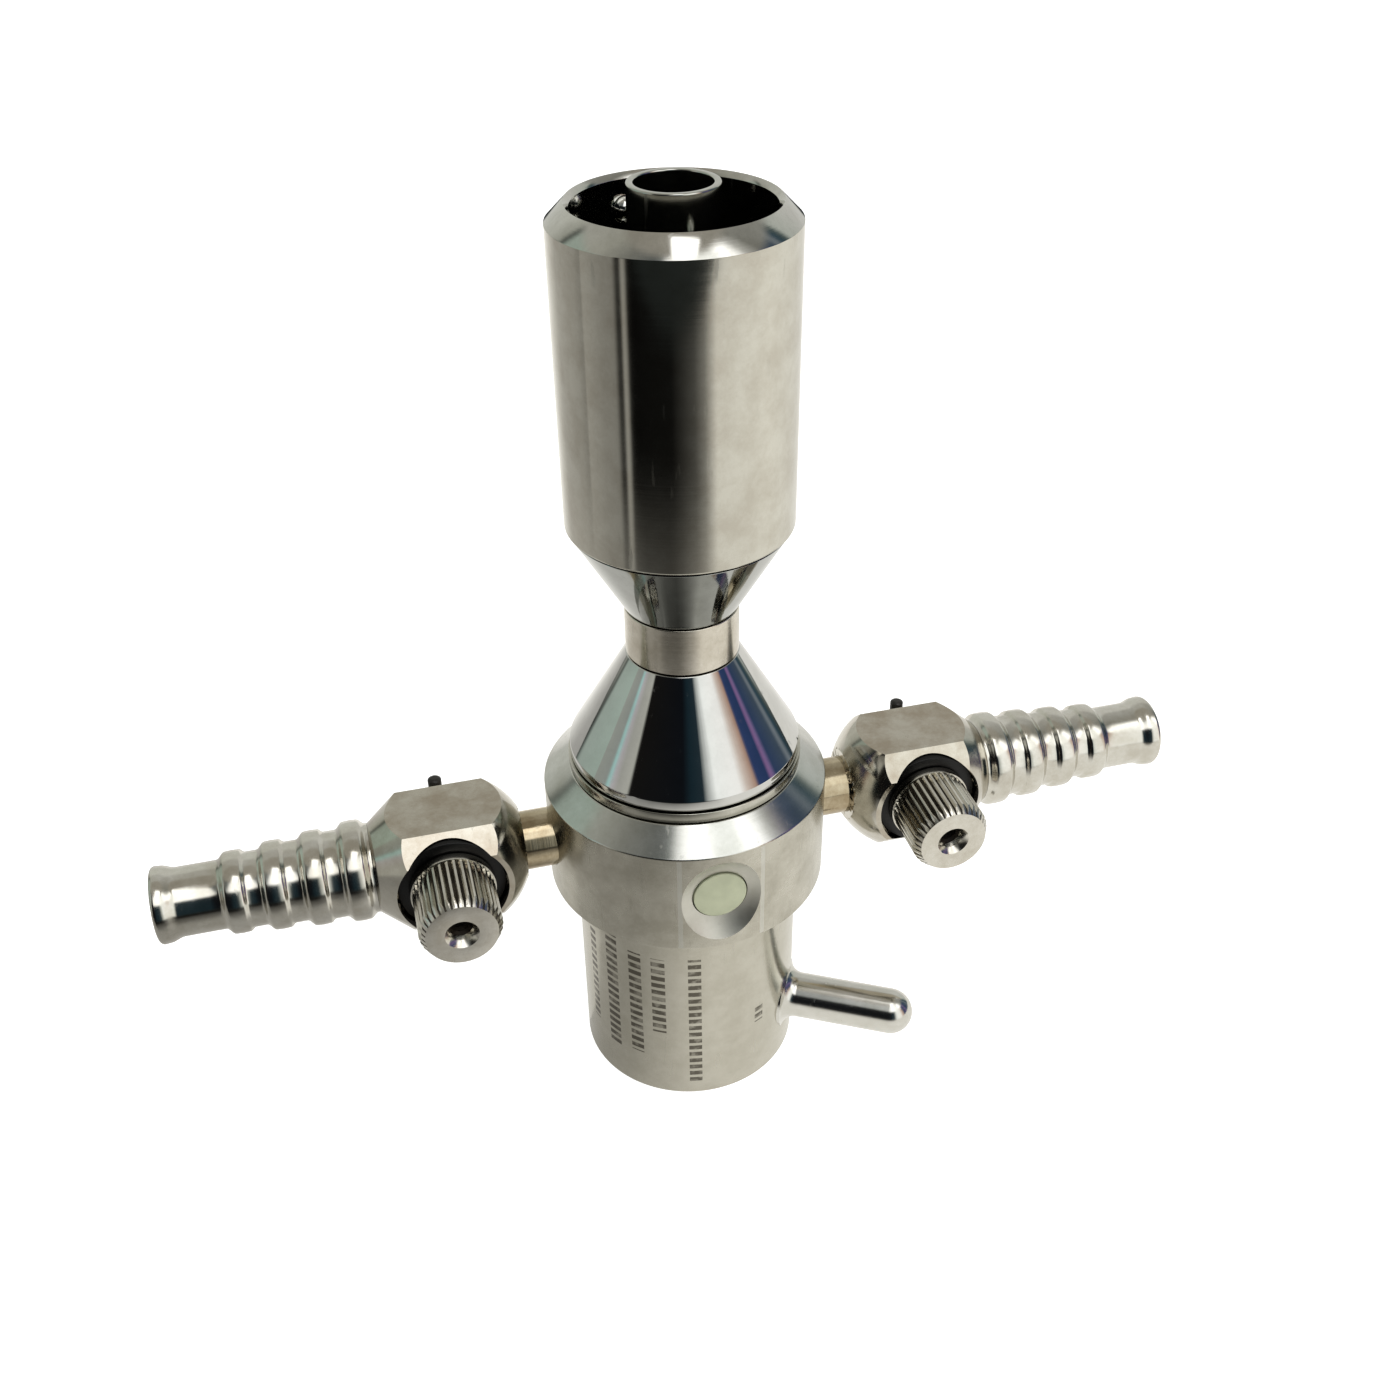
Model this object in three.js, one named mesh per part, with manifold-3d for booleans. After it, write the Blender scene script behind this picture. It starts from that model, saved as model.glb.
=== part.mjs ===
// Twin-stopcock endoscope sheath adaptor.
// A turned lower body carries a collar with two hose-barb stopcocks and a push-button latch, and
// the latch holds a coupling cup that swivels on the collar.
// Millimetres, +Z up. The origin is the centre of the lower body's bottom face.
import * as THREE from "three";
import { mergeVertices } from "three/addons/utils/BufferGeometryUtils.js";
import Module from "manifold-3d";

const wasm = await Module();
wasm.setup();

const gap = 0.15; // between two pieces that are pressed, screwed or brazed together
const slip = 0.2; // between two pieces that move on each other
const fine = 40; // sides of the large turned pieces
const coarse = 20; // sides of the small turned pieces
const reach = 0.5; // how far a cutting shape runs past the face it opens

// ---- shapes -------------------------------------------------------------------------------

function solidOf(geometry) {
  const bare = geometry.index ? geometry.toNonIndexed() : geometry.clone();
  bare.deleteAttribute("normal");
  bare.deleteAttribute("uv");
  const merged = mergeVertices(bare, 1e-4);
  return new wasm.Manifold(
    new wasm.Mesh({
      numProp: 3,
      vertProperties: new Float32Array(merged.attributes.position.array),
      triVerts: new Uint32Array(merged.index.array),
    }),
  );
}

function geometryOf(solid) {
  const mesh = solid.getMesh();
  const geometry = new THREE.BufferGeometry();
  geometry.setAttribute("position", new THREE.BufferAttribute(mesh.vertProperties, 3));
  geometry.setIndex(new THREE.BufferAttribute(mesh.triVerts, 1));
  return geometry;
}

// A turned piece about Z. The outline is a list of [radius, height] points with the metal on its
// left, and it closes on itself or on the axis.
function turned(outline, sides = coarse) {
  const points = outline.map(([radius, height]) => new THREE.Vector2(radius, height));
  const onAxis = outline[0][0] === 0 && outline.at(-1)[0] === 0;
  if (!onAxis) points.push(points[0].clone());
  return new THREE.LatheGeometry(points, sides).rotateX(Math.PI / 2);
}

function turnedSolid(outline, sides) {
  return solidOf(turned(outline, sides));
}

function rod(radius, low, high, sides = coarse) {
  return turnedSolid([[0, low], [radius, low], [radius, high], [0, high]], sides);
}

function block(width, depth, height, x, y, z) {
  return solidOf(new THREE.BoxGeometry(width, depth, height).translate(x, y, z));
}

// Points of a circular arc in an outline, from one angle to another in degrees.
function arc(centreRadius, centreHeight, radius, fromDegrees, toDegrees, steps) {
  return Array.from({ length: steps + 1 }, (_, i) => {
    const angle = ((fromDegrees + ((toDegrees - fromDegrees) * i) / steps) * Math.PI) / 180;
    return [centreRadius + radius * Math.cos(angle), centreHeight + radius * Math.sin(angle)];
  });
}

// A turned solid about Z, laid over so that its own +Z points along +X.
function layAlongX(solid) {
  return solid.rotate([0, 90, 0]);
}

function ring(centreRadius, section, height) {
  return turned(arc(centreRadius, height, section, 0, 315, 7), coarse);
}

// ---- materials ----------------------------------------------------------------------------

function metal(color, roughness) {
  return new THREE.MeshStandardMaterial({ color, roughness, metalness: 1 });
}

const satinSteel = metal(0x9c9a92, 0.38);
const polishedSteel = metal(0xc9c8c3, 0.08);
const warmSteel = metal(0xa9a184, 0.2);
const springSteel = metal(0xb4b4b0, 0.25);
const paleButton = new THREE.MeshStandardMaterial({ color: 0xb7bba0, roughness: 0.4, metalness: 0.3 });
const blackSeal = new THREE.MeshStandardMaterial({ color: 0x101010, roughness: 0.6, metalness: 0 });

function piece(name, shape, material) {
  const geometry = shape.isBufferGeometry ? shape : geometryOf(shape);
  const mesh = new THREE.Mesh(geometry, material.clone());
  mesh.name = name;
  return mesh;
}

// ---- sizes --------------------------------------------------------------------------------

// The lower body, which takes the hub of a sheath from below.
const body = { radius: 9.3, height: 19.55, edge: 0.4, spigotRadius: 8, spigotHeight: 1.6 };
const socket = { radius: 6.6, depth: 13.5, lead: 0.4, sealHeight: 9.5, sealSection: 0.6, sealGrip: 0.35 };
const boreRadius = 4.6;
const bodySeal = { section: 0.35, depth: 0.8, play: 0.1 };
const bodySealHeight = body.height + body.spigotHeight / 2;

// The round guide pin on the lower body's flank.
const guide = { radius: 1.97, shankRadius: 1.5, shankLength: 2.2, height: 5.3, tip: 20.4, degrees: -15.7 };

// The collar, and the axis that its two stopcocks share.
const collar = { radius: 11.5, height: 11, chamferWidth: 2.13, chamferHeight: 1.73 };
const collarBottom = body.height + gap;
const collarTop = collarBottom + collar.height;
const branch = { rise: 4.7, degrees: 14 };
const branchHeight = collarBottom + branch.rise;
const branchDegrees = branch.degrees;

// The swivelling coupling's spigot, with its seal and the groove that the latch holds.
const spigot = { radius: 6, length: 5.95, sealRadius: 0.45, sealGroove: 0.9, grooveDepth: 0.8 };
const chamberRadius = spigot.radius + slip;

// The latch: a button, a sliding ring with a turned-down tab, and the spring behind the tab.
const latch = { thickness: 0.8, travel: 0.7, play: 0.375, tabWidth: 4.4, tabThickness: 0.75 };
const button = { radius: 2.15, lip: 0.3, lipThickness: 0.3, sink: 0.75, length: 1.65 };
const scoop = { radius: 6.6, depth: 1.3 };
const springSizes = { coil: 0.85, wire: 0.26, turns: 2.25, seat: 0.6 };

// The cap ring that closes the collar over the latch ring.
const cap = { flange: 0.85, skirt: 2, land: 0.32 };
const capRadius = collar.radius - collar.chamferWidth;
const counterboreRadius = capRadius - cap.land;
const latchFloor = collarTop + gap - cap.skirt - latch.thickness - 2 * gap;
const capTop = collarTop + gap + cap.flange;

// The coupling above the collar: shoulder, neck, cup and the tube through them.
const shoulder = { radius: 9.2, flange: 0.85, height: 8.2 };
const shoulderBottom = capTop + gap;
const neck = { radius: 4.4, height: 3.9 };
const tube = { radius: 3.1, wall: 0.5, lip: 1.1, seat: 1.8 };
const cup = { radius: 8.47, footRadius: 8.25, wall: 1.67, height: 23.1, baseHeight: 6.7, pilot: 2.15 };
const rim = { chamferWidth: 1.42, chamferHeight: 1.3, lead: 0.15 };
const ball = { radius: 0.9, below: 2.4, degrees: 120, proud: 0.95 };
const neckBottom = shoulderBottom + shoulder.flange + shoulder.height + gap;
const cupBaseBottom = neckBottom + neck.height + gap;
const cupFoot = cupBaseBottom + cup.baseHeight;
const cupTop = cupFoot + gap + cup.height;
const cupBore = cup.radius - cup.wall;
const tubeFit = tube.radius + gap;
const ballHeight = cupTop - ball.below;
const ballCentre = cupBore - ball.proud + ball.radius;
const ballDegrees = [ball.degrees, ball.degrees + 180];

// A stopcock, measured outwards from the body's axis along the branch.
const flow = { radius: 1.3 };
const stem = { radius: 2.42, buried: 2.9, bare: 2.35, seat: 1.1, shoulder: 0.58 };
const valve = { across: 9.5, flatShare: 0.632, bulge: 0.88, plugSet: 0.4, barLength: 3.3, coneLength: 2.5 };
const valveHalf = valve.across / 2;
const flatHalf = valveHalf * valve.flatShare;
const cornerRadius = Math.hypot(valveHalf, flatHalf);
const bulbRadius = cornerRadius + valve.bulge;
const mouthRadius = stem.radius + stem.shoulder;
const stemStart = collar.radius - stem.buried;
const valveMouth = collar.radius + stem.bare;
const plugReach = valveMouth + Math.sqrt(bulbRadius ** 2 - mouthRadius ** 2) + valve.plugSet;
const coneStart = plugReach + valve.barLength;
const coneEnd = coneStart + valve.coneLength;

// The hose barb. Its ribs fall from crest to crest, and rise and fall are shares of the pitch.
const barb = { ribs: 4, pitch: 3.07, root: 3.6, crest: 4.02, step: 0.25, dip: 0.27, barrel: 2.74, barrelLength: 4.35 };
const rib = { foot: 0.08, rise: 0.22, fall: 0.57, valley: 0.8 };
const barbLip = { radius: 3.08, length: 1.5, edge: 0.35, flat: 0.1 };
const barbSpigot = { radius: 2.15, length: 2, bore: 1.6 };

// The plug that turns in the valve body, measured forwards from the branch along its own axis.
const recess = { depth: 2, room: 0.85 };
const recessFloor = valveHalf - recess.depth;
const washer = { thickness: 0.8 };
const plug = { tail: 2.1, front: 2.55, seatGap: 0.15, reach: 4.95, faceRadius: 2.8 };
const plugSeat = recessFloor - plug.seatGap;
const plugFace = valveHalf + plug.reach;
const head = { radius: 3.25, teeth: 36, depth: 0.32, ring: 0.7, ringProud: 0.12, chamfer: 0.8 };
const recessRadius = head.radius + recess.room;
const plugHole = { radius: 1.33, depth: 4.2 };
const stopPin = { radius: 0.5, inset: 0.95, proud: 0.3, grooveDepth: 0.7, edge: 0.15 };
const stopPinBack = valveHalf - stopPin.inset;

// ---- lower body ---------------------------------------------------------------------------

function lowerBody() {
  const { radius, height, edge, spigotRadius, spigotHeight } = body;
  const top = height + spigotHeight;
  const sealTop = socket.sealHeight + socket.sealSection + gap;
  const sealBottom = socket.sealHeight - socket.sealSection - gap;
  const sealGroove = socket.radius + 2 * socket.sealSection - socket.sealGrip + gap;
  const outerGroove = spigotRadius - bodySeal.depth;
  const outerSealHalf = bodySeal.section + bodySeal.play;
  const turnedBody = turnedSolid(
    [
      [socket.radius + socket.lead, 0],
      ...arc(radius - edge, edge, edge, -90, 0, 4),
      [radius, height],
      [spigotRadius, height],
      [spigotRadius, bodySealHeight - outerSealHalf],
      [outerGroove, bodySealHeight - outerSealHalf],
      [outerGroove, bodySealHeight + outerSealHalf],
      [spigotRadius, bodySealHeight + outerSealHalf],
      [spigotRadius, top],
      [boreRadius, top],
      [boreRadius, socket.depth],
      [socket.radius, socket.depth],
      [socket.radius, sealTop],
      [sealGroove, sealTop],
      [sealGroove, sealBottom],
      [socket.radius, sealBottom],
      [socket.radius, socket.lead],
    ],
    fine,
  );
  const shankHole = layAlongX(
    rod(guide.shankRadius + gap, radius - guide.shankLength - gap, radius + reach),
  ).translate([0, 0, guide.height]);
  return turnedBody.subtract(shankHole.rotate([0, 0, guide.degrees]));
}

function guidePin() {
  const { radius, shankRadius, shankLength, height, tip, degrees } = guide;
  const foot = body.radius - radius;
  const pin = turnedSolid([
    [0, foot],
    [radius, foot],
    ...arc(0, tip - radius, radius, 0, 90, 8),
  ]);
  const shank = rod(shankRadius, body.radius - shankLength, tip - radius);
  const clearOfBody = rod(body.radius + gap, -reach, body.height, fine);
  const place = (solid) => layAlongX(solid).translate([0, 0, height]).rotate([0, 0, degrees]);
  return place(pin).subtract(clearOfBody).add(place(shank));
}

function socketSeal() {
  const centre = socket.radius + socket.sealSection - socket.sealGrip;
  return ring(centre, socket.sealSection, socket.sealHeight);
}

function bodySealRing() {
  return ring(body.spigotRadius - bodySeal.section, bodySeal.section, bodySealHeight);
}

// ---- collar and latch ---------------------------------------------------------------------

// The button's axis is square to the branch, and everything on it is built along +X and turned.
const buttonDegrees = branchDegrees - 90;
const buttonFace = collar.radius - button.sink;
const buttonBack = buttonFace - button.length;
const lipRadius = button.radius + button.lip;
const tabOuter = buttonBack - gap;
const tabInner = tabOuter - latch.tabThickness;
const pocketInner = tabInner - latch.travel - 0.3;
const springSeat = pocketInner - springSizes.seat;

function stopcockCollar() {
  const { radius, chamferWidth, chamferHeight } = collar;
  const spigotTop = body.height + body.spigotHeight + gap;
  const turnedCollar = turnedSolid(
    [
      [body.spigotRadius + gap, collarBottom],
      [radius, collarBottom],
      [radius, collarTop - chamferHeight],
      [radius - chamferWidth, collarTop],
      [counterboreRadius, collarTop],
      [counterboreRadius, latchFloor],
      [chamberRadius, latchFloor],
      [chamberRadius, spigotTop],
      [body.spigotRadius + gap, spigotTop],
    ],
    fine,
  );
  const cuts = [];
  for (const degrees of [branchDegrees, branchDegrees + 180]) {
    const stemHole = rod(stem.radius + gap, stemStart - gap, radius + reach);
    const flowHole = rod(flow.radius, chamberRadius - reach, stemStart);
    cuts.push(layAlongX(stemHole.add(flowHole)).rotate([0, 0, degrees]));
  }
  const lipHalf = lipRadius + gap / 2;
  const pocketTop = latchFloor + reach - branchHeight;
  const pocketOuter = buttonBack + button.lipThickness + gap / 2;
  const dish = solidOf(new THREE.SphereGeometry(scoop.radius, 40, 28)).translate([
    radius - scoop.depth + scoop.radius,
    0,
    0,
  ]);
  const buttonHole = layAlongX(rod(button.radius + gap, pocketInner, radius));
  const pocket = block(
    pocketOuter - pocketInner,
    2 * lipHalf,
    pocketTop + lipHalf,
    (pocketOuter + pocketInner) / 2,
    0,
    (pocketTop - lipHalf) / 2,
  );
  const springHole = layAlongX(rod(springSizes.coil + springSizes.wire, springSeat, pocketInner + reach));
  for (const cut of [dish, buttonHole, pocket, springHole]) {
    cuts.push(cut.rotate([0, 0, buttonDegrees]));
  }
  return cuts.reduce(
    (left, cut) => left.subtract(cut.translate([0, 0, branchHeight])),
    turnedCollar,
  );
}

function latchButton() {
  const { radius, lipThickness, sink } = button;
  const edge = 0.12;
  const shape = turnedSolid([
    [0, buttonBack],
    [lipRadius, buttonBack],
    [lipRadius, buttonBack + lipThickness],
    [radius, buttonBack + lipThickness],
    [radius, collar.radius - sink - edge],
    [radius - edge, collar.radius - sink],
    [0, collar.radius - sink],
  ]);
  return layAlongX(shape).translate([0, 0, branchHeight]).rotate([0, 0, buttonDegrees]);
}

function latchRing() {
  const bottom = latchFloor + gap;
  const inner = chamberRadius + gap / 2;
  const outer = counterboreRadius - latch.travel - latch.play;
  const plate = turnedSolid(
    [
      [inner, bottom],
      [outer, bottom],
      [outer, bottom + latch.thickness],
      [inner, bottom + latch.thickness],
    ],
    fine,
  ).translate([latch.travel, 0, 0]);
  const tabBottom = branchHeight - button.radius;
  const tabTop = bottom + latch.thickness;
  const tab = block(
    latch.tabThickness,
    latch.tabWidth,
    tabTop - tabBottom,
    (tabInner + tabOuter) / 2,
    0,
    (tabTop + tabBottom) / 2,
  );
  const room = rod(counterboreRadius - gap, tabBottom - reach, tabTop + reach, fine);
  return plate.add(tab.intersect(room)).rotate([0, 0, buttonDegrees]);
}

class Coil extends THREE.Curve {
  constructor(radius, start, end, turns) {
    super();
    Object.assign(this, { radius, start, end, turns });
  }
  getPoint(t, target = new THREE.Vector3()) {
    const angle = 2 * Math.PI * this.turns * t;
    const along = this.start + (this.end - this.start) * t;
    return target.set(along, this.radius * Math.cos(angle), this.radius * Math.sin(angle));
  }
}

function latchSpring() {
  const { coil, wire, turns } = springSizes;
  const round = new THREE.Shape().absarc(0, 0, wire / 2, 0, 2 * Math.PI);
  const start = springSeat + gap / 2 + wire / 2;
  const path = new Coil(coil, start, tabInner - gap / 2 - wire / 2, turns);
  const spring = new THREE.ExtrudeGeometry(round, { steps: 36, curveSegments: 3, extrudePath: path });
  return spring.translate(0, 0, branchHeight).rotateZ((buttonDegrees * Math.PI) / 180);
}

function capRing() {
  const skirtBottom = collarTop + gap - cap.skirt;
  return turned(
    [
      [chamberRadius, skirtBottom],
      [counterboreRadius - gap, skirtBottom],
      [counterboreRadius - gap, collarTop + gap],
      [capRadius, collarTop + gap],
      [capRadius, capTop],
      [chamberRadius, capTop],
    ],
    fine,
  );
}

// ---- coupling -----------------------------------------------------------------------------

function shoulderCone() {
  const bottom = shoulderBottom - spigot.length;
  const grooveBottom = latchFloor;
  const grooveTop = latchFloor + latch.thickness + 2 * gap;
  const sealMiddle = (bottom + grooveBottom) / 2;
  const sealHalf = spigot.sealRadius + gap / 2;
  const coneTop = shoulderBottom + shoulder.flange + shoulder.height;
  const tubeBottom = shoulderBottom + tube.seat;
  return turned(
    [
      [boreRadius, bottom],
      [spigot.radius, bottom],
      [spigot.radius, sealMiddle - sealHalf],
      [spigot.radius - spigot.sealGroove, sealMiddle - sealHalf],
      [spigot.radius - spigot.sealGroove, sealMiddle + sealHalf],
      [spigot.radius, sealMiddle + sealHalf],
      [spigot.radius, grooveBottom],
      [spigot.radius - spigot.grooveDepth, grooveBottom],
      [spigot.radius - spigot.grooveDepth, grooveTop],
      [spigot.radius, grooveTop],
      [spigot.radius, shoulderBottom],
      [shoulder.radius, shoulderBottom],
      [shoulder.radius, shoulderBottom + shoulder.flange],
      [neck.radius, coneTop],
      [tubeFit, coneTop],
      [tubeFit, tubeBottom - gap],
      [boreRadius, tubeBottom - gap],
    ],
    fine,
  );
}

function spigotSeal() {
  const middle = (shoulderBottom - spigot.length + latchFloor) / 2;
  const centre = spigot.radius - spigot.sealGroove + spigot.sealRadius + gap / 2;
  return ring(centre, spigot.sealRadius, middle);
}

function neckSleeve() {
  const top = neckBottom + neck.height;
  return turned([[tubeFit, neckBottom], [neck.radius, neckBottom], [neck.radius, top], [tubeFit, top]], fine);
}

function cupBase() {
  const pilotRadius = cupBore - gap;
  return turned(
    [
      [tubeFit, cupBaseBottom],
      [neck.radius, cupBaseBottom],
      [cup.footRadius, cupFoot],
      [pilotRadius, cupFoot],
      [pilotRadius, cupFoot + cup.pilot],
      [tubeFit, cupFoot + cup.pilot],
    ],
    fine,
  );
}

function cupSleeve() {
  const bottom = cupFoot + gap;
  const foot = cup.radius - cup.footRadius;
  const sleeve = turnedSolid(
    [
      [cupBore, bottom],
      ...arc(cup.radius - foot, bottom + foot, foot, -90, 0, 3),
      [cup.radius, cupTop - rim.chamferHeight],
      [cup.radius - rim.chamferWidth, cupTop],
      [cupBore + rim.lead, cupTop],
      [cupBore, cupTop - rim.lead],
    ],
    fine,
  );
  return ballDegrees.reduce((left, degrees) => {
    const seat = rod(ball.radius + gap, cupBore - reach, ballCentre + ball.radius + gap, 24);
    const laid = layAlongX(seat).translate([0, 0, ballHeight]).rotate([0, 0, degrees]);
    return left.subtract(laid);
  }, sleeve);
}

function detentBall(degrees) {
  const angle = (degrees * Math.PI) / 180;
  const shape = new THREE.SphereGeometry(ball.radius, 16, 8);
  return shape.translate(ballCentre * Math.cos(angle), ballCentre * Math.sin(angle), ballHeight);
}

function innerTube() {
  const bottom = shoulderBottom + tube.seat;
  const top = cupTop + tube.lip;
  const bore = tube.radius - tube.wall;
  const edge = tube.wall / 4;
  return turned(
    [
      [bore, bottom],
      [tube.radius, bottom],
      [tube.radius, top - edge],
      [tube.radius - edge, top],
      [bore + edge, top],
      [bore, top - edge],
    ],
    fine,
  );
}

// ---- stopcocks ----------------------------------------------------------------------------
// Each is built with the branch along +Z, outwards from the body, and the plug along +X.

function stemTube() {
  const end = valveMouth + stem.seat;
  return turned([[flow.radius, stemStart], [stem.radius, stemStart], [stem.radius, end], [flow.radius, end]]);
}

function valveBody(up) {
  const mouthAngle = (Math.asin(mouthRadius / bulbRadius) * 180) / Math.PI;
  const turnedEnds = turnedSolid(
    [
      [0, valveMouth],
      [mouthRadius, valveMouth],
      ...arc(0, plugReach, bulbRadius, mouthAngle - 90, 0, 6),
      [bulbRadius, coneStart - (bulbRadius - cornerRadius)],
      [cornerRadius, coneStart],
      [barb.root, coneEnd],
      [0, coneEnd],
    ],
    36,
  );
  const half = valveHalf;
  const corner = flatHalf;
  const section = new THREE.Shape(
    [
      [half, corner],
      [corner, half],
      [-corner, half],
      [-half, corner],
      [-half, -corner],
      [-corner, -half],
      [corner, -half],
      [half, -corner],
    ].map(([x, y]) => new THREE.Vector2(x, y)),
  );
  const length = coneEnd - valveMouth;
  const bar = new THREE.ExtrudeGeometry(section, { depth: length, bevelEnabled: false });
  const stemHole = rod(stem.radius + gap, valveMouth - reach, valveMouth + stem.seat + gap);
  const barbHole = rod(barbSpigot.radius + gap, coneEnd - barbSpigot.length - gap, coneEnd + reach);
  const bore = rod(flow.radius, valveMouth, coneEnd);
  const taper = turnedSolid([
    [0, -half - reach],
    [plug.tail + slip / 2, -half - reach],
    [plug.tail + slip / 2, -half],
    [plug.front + slip / 2, plugSeat],
    [plug.front + slip / 2, half],
    [0, half],
  ]);
  const facing = rod(recessRadius, recessFloor, half + reach);
  const cross = layAlongX(taper.add(facing)).translate([0, 0, plugReach]);
  const pinHole = rod(stopPin.radius + gap, 0, half + reach, 16);
  const pinAlongUp = pinHole.rotate([up > 0 ? -90 : 90, 0, 0]).translate([-stopPinBack, 0, plugReach]);
  return solidOf(bar.translate(0, 0, valveMouth))
    .intersect(turnedEnds)
    .subtract(stemHole)
    .subtract(barbHole)
    .subtract(bore)
    .subtract(cross)
    .subtract(pinAlongUp);
}

// The barb's ribs fall from crest to crest towards its lip, with a round valley before each.
function hoseBarb() {
  const seam = coneEnd + gap;
  const outline = [];
  for (let i = 0; i < barb.ribs; i += 1) {
    const crest = barb.crest - i * barb.step;
    const valley = crest - barb.dip;
    const start = seam + i * barb.pitch;
    outline.push([valley, start + rib.foot * barb.pitch]);
    outline.push([crest, start + rib.rise * barb.pitch]);
    outline.push([crest, start + rib.fall * barb.pitch]);
    outline.push([valley - barb.step, start + rib.valley * barb.pitch]);
  }
  const barrelStart = seam + barb.ribs * barb.pitch;
  const lipStart = barrelStart + barb.barrelLength - barbLip.length;
  const end = barrelStart + barb.barrelLength;
  const { edge } = barbLip;
  return turned([
    [barbSpigot.bore, seam - gap - barbSpigot.length],
    [barbSpigot.radius, seam - gap - barbSpigot.length],
    [barbSpigot.radius, seam],
    [barb.root, seam],
    ...outline,
    [barb.barrel, barrelStart],
    [barb.barrel, lipStart],
    [barbLip.radius - barbLip.flat, end - 2 * edge],
    ...arc(barbLip.radius - edge, end - edge, edge, 0, 90, 3),
    [barbSpigot.bore + edge, end],
    [barbSpigot.bore, end - edge],
  ]);
}

function valvePlug() {
  const headBack = recessFloor + washer.thickness + 2 * gap + slip;
  const toothStart = headBack + head.ring;
  const half = valveHalf;
  const grooveHalf = stopPin.radius + gap;
  const taperAt = (along) => plug.tail + ((plug.front - plug.tail) * (along + half)) / (plugSeat + half);
  const grooveBack = -stopPinBack - grooveHalf;
  const grooveFront = -stopPinBack + grooveHalf;
  const tail = turnedSolid([
    [0, -half + gap],
    [taperAt(-half + gap), -half + gap],
    [taperAt(grooveBack), grooveBack],
    [taperAt(grooveBack) - stopPin.grooveDepth, grooveBack],
    [taperAt(grooveBack) - stopPin.grooveDepth, grooveFront],
    [taperAt(grooveFront), grooveFront],
    [plug.front, plugSeat],
    [plug.front, toothStart],
    [0, toothStart],
  ]);
  const backRing = rod(head.radius + head.ringProud, headBack, toothStart, 36);
  const teeth = new THREE.Shape(
    Array.from({ length: 4 * head.teeth }, (_, i) => {
      const radius = i % 4 < 2 ? head.radius : head.radius - head.depth;
      const angle = (2 * Math.PI * (i + 0.5)) / (4 * head.teeth);
      return new THREE.Vector2(radius * Math.cos(angle), radius * Math.sin(angle));
    }),
  );
  const overlap = 0.1;
  const knurl = new THREE.ExtrudeGeometry(teeth, {
    depth: plugFace - toothStart + overlap,
    bevelEnabled: false,
  }).translate(0, 0, toothStart - overlap);
  const chamfered = turnedSolid(
    [
      [0, toothStart - overlap],
      [head.radius + overlap, toothStart - overlap],
      [head.radius + overlap, plugFace - head.chamfer],
      [plug.faceRadius, plugFace],
      [0, plugFace],
    ],
    36,
  );
  const bolt = rod(plugHole.radius, plugFace - plugHole.depth, plugFace + reach, 24);
  const bore = rod(flow.radius, -half, half).rotate([0, 90, 0]);
  const along = tail.add(backRing).add(solidOf(knurl).intersect(chamfered)).subtract(bolt);
  return layAlongX(along.subtract(bore)).translate([0, 0, plugReach]);
}

function sealWasher() {
  const low = recessFloor + gap;
  const high = low + washer.thickness;
  const inner = plug.front + slip;
  const outer = recessRadius - gap;
  const shape = turnedSolid([[inner, low], [outer, low], [outer, high], [inner, high]], 36);
  return layAlongX(shape).translate([0, 0, plugReach]);
}

function stopPinShape(up) {
  const grooveFloor = plug.tail - stopPin.grooveDepth;
  const low = grooveFloor + slip;
  const high = valveHalf + stopPin.proud;
  const shape = turnedSolid(
    [
      [0, low],
      [stopPin.radius, low],
      [stopPin.radius, high - stopPin.edge],
      [stopPin.radius - stopPin.edge, high],
      [0, high],
    ],
    16,
  );
  return shape.rotate([up > 0 ? -90 : 90, 0, 0]).translate([-stopPinBack, 0, plugReach]);
}

// The arm's frame: +Z outwards, +X towards the plug's head, which both arms turn the same way.
function stopcockArm(side, outwardDegrees) {
  const angle = (outwardDegrees * Math.PI) / 180;
  const plugAngle = (buttonDegrees * Math.PI) / 180;
  const outward = new THREE.Vector3(Math.cos(angle), Math.sin(angle), 0);
  const forward = new THREE.Vector3(Math.cos(plugAngle), Math.sin(plugAngle), 0);
  const third = new THREE.Vector3().crossVectors(outward, forward);
  const up = Math.sign(third.z);
  const arm = new THREE.Group();
  arm.quaternion.setFromRotationMatrix(new THREE.Matrix4().makeBasis(forward, third, outward));
  arm.position.z = branchHeight;
  arm.add(
    piece("stem_" + side, stemTube(), warmSteel),
    piece("valve_body_" + side, valveBody(up), satinSteel),
    piece("hose_barb_" + side, hoseBarb(), polishedSteel),
    piece("valve_plug_" + side, valvePlug(), satinSteel),
    piece("seal_washer_" + side, sealWasher(), blackSeal),
    piece("stop_pin_" + side, stopPinShape(up), satinSteel),
  );
  return arm;
}

// ---- assembly -----------------------------------------------------------------------------

const adaptor = new THREE.Group();
adaptor.add(
  piece("lower_body", lowerBody(), satinSteel),
  piece("guide_pin", guidePin(), polishedSteel),
  piece("socket_seal", socketSeal(), blackSeal),
  piece("body_seal", bodySealRing(), blackSeal),
  piece("stopcock_collar", stopcockCollar(), satinSteel),
  piece("latch_button", latchButton(), paleButton),
  piece("latch_ring", latchRing(), springSteel),
  piece("latch_spring", latchSpring(), springSteel),
  piece("cap_ring", capRing(), satinSteel),
  piece("shoulder_cone", shoulderCone(), polishedSteel),
  piece("spigot_seal", spigotSeal(), blackSeal),
  piece("neck_sleeve", neckSleeve(), satinSteel),
  piece("cup_base", cupBase(), polishedSteel),
  piece("cup_sleeve", cupSleeve(), satinSteel),
  piece("detent_ball_rear", detentBall(ballDegrees[0]), springSteel),
  piece("detent_ball_front", detentBall(ballDegrees[1]), springSteel),
  piece("inner_tube", innerTube(), polishedSteel),
  stopcockArm("right", branchDegrees),
  stopcockArm("left", branchDegrees + 180),
);

export default adaptor;
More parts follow.
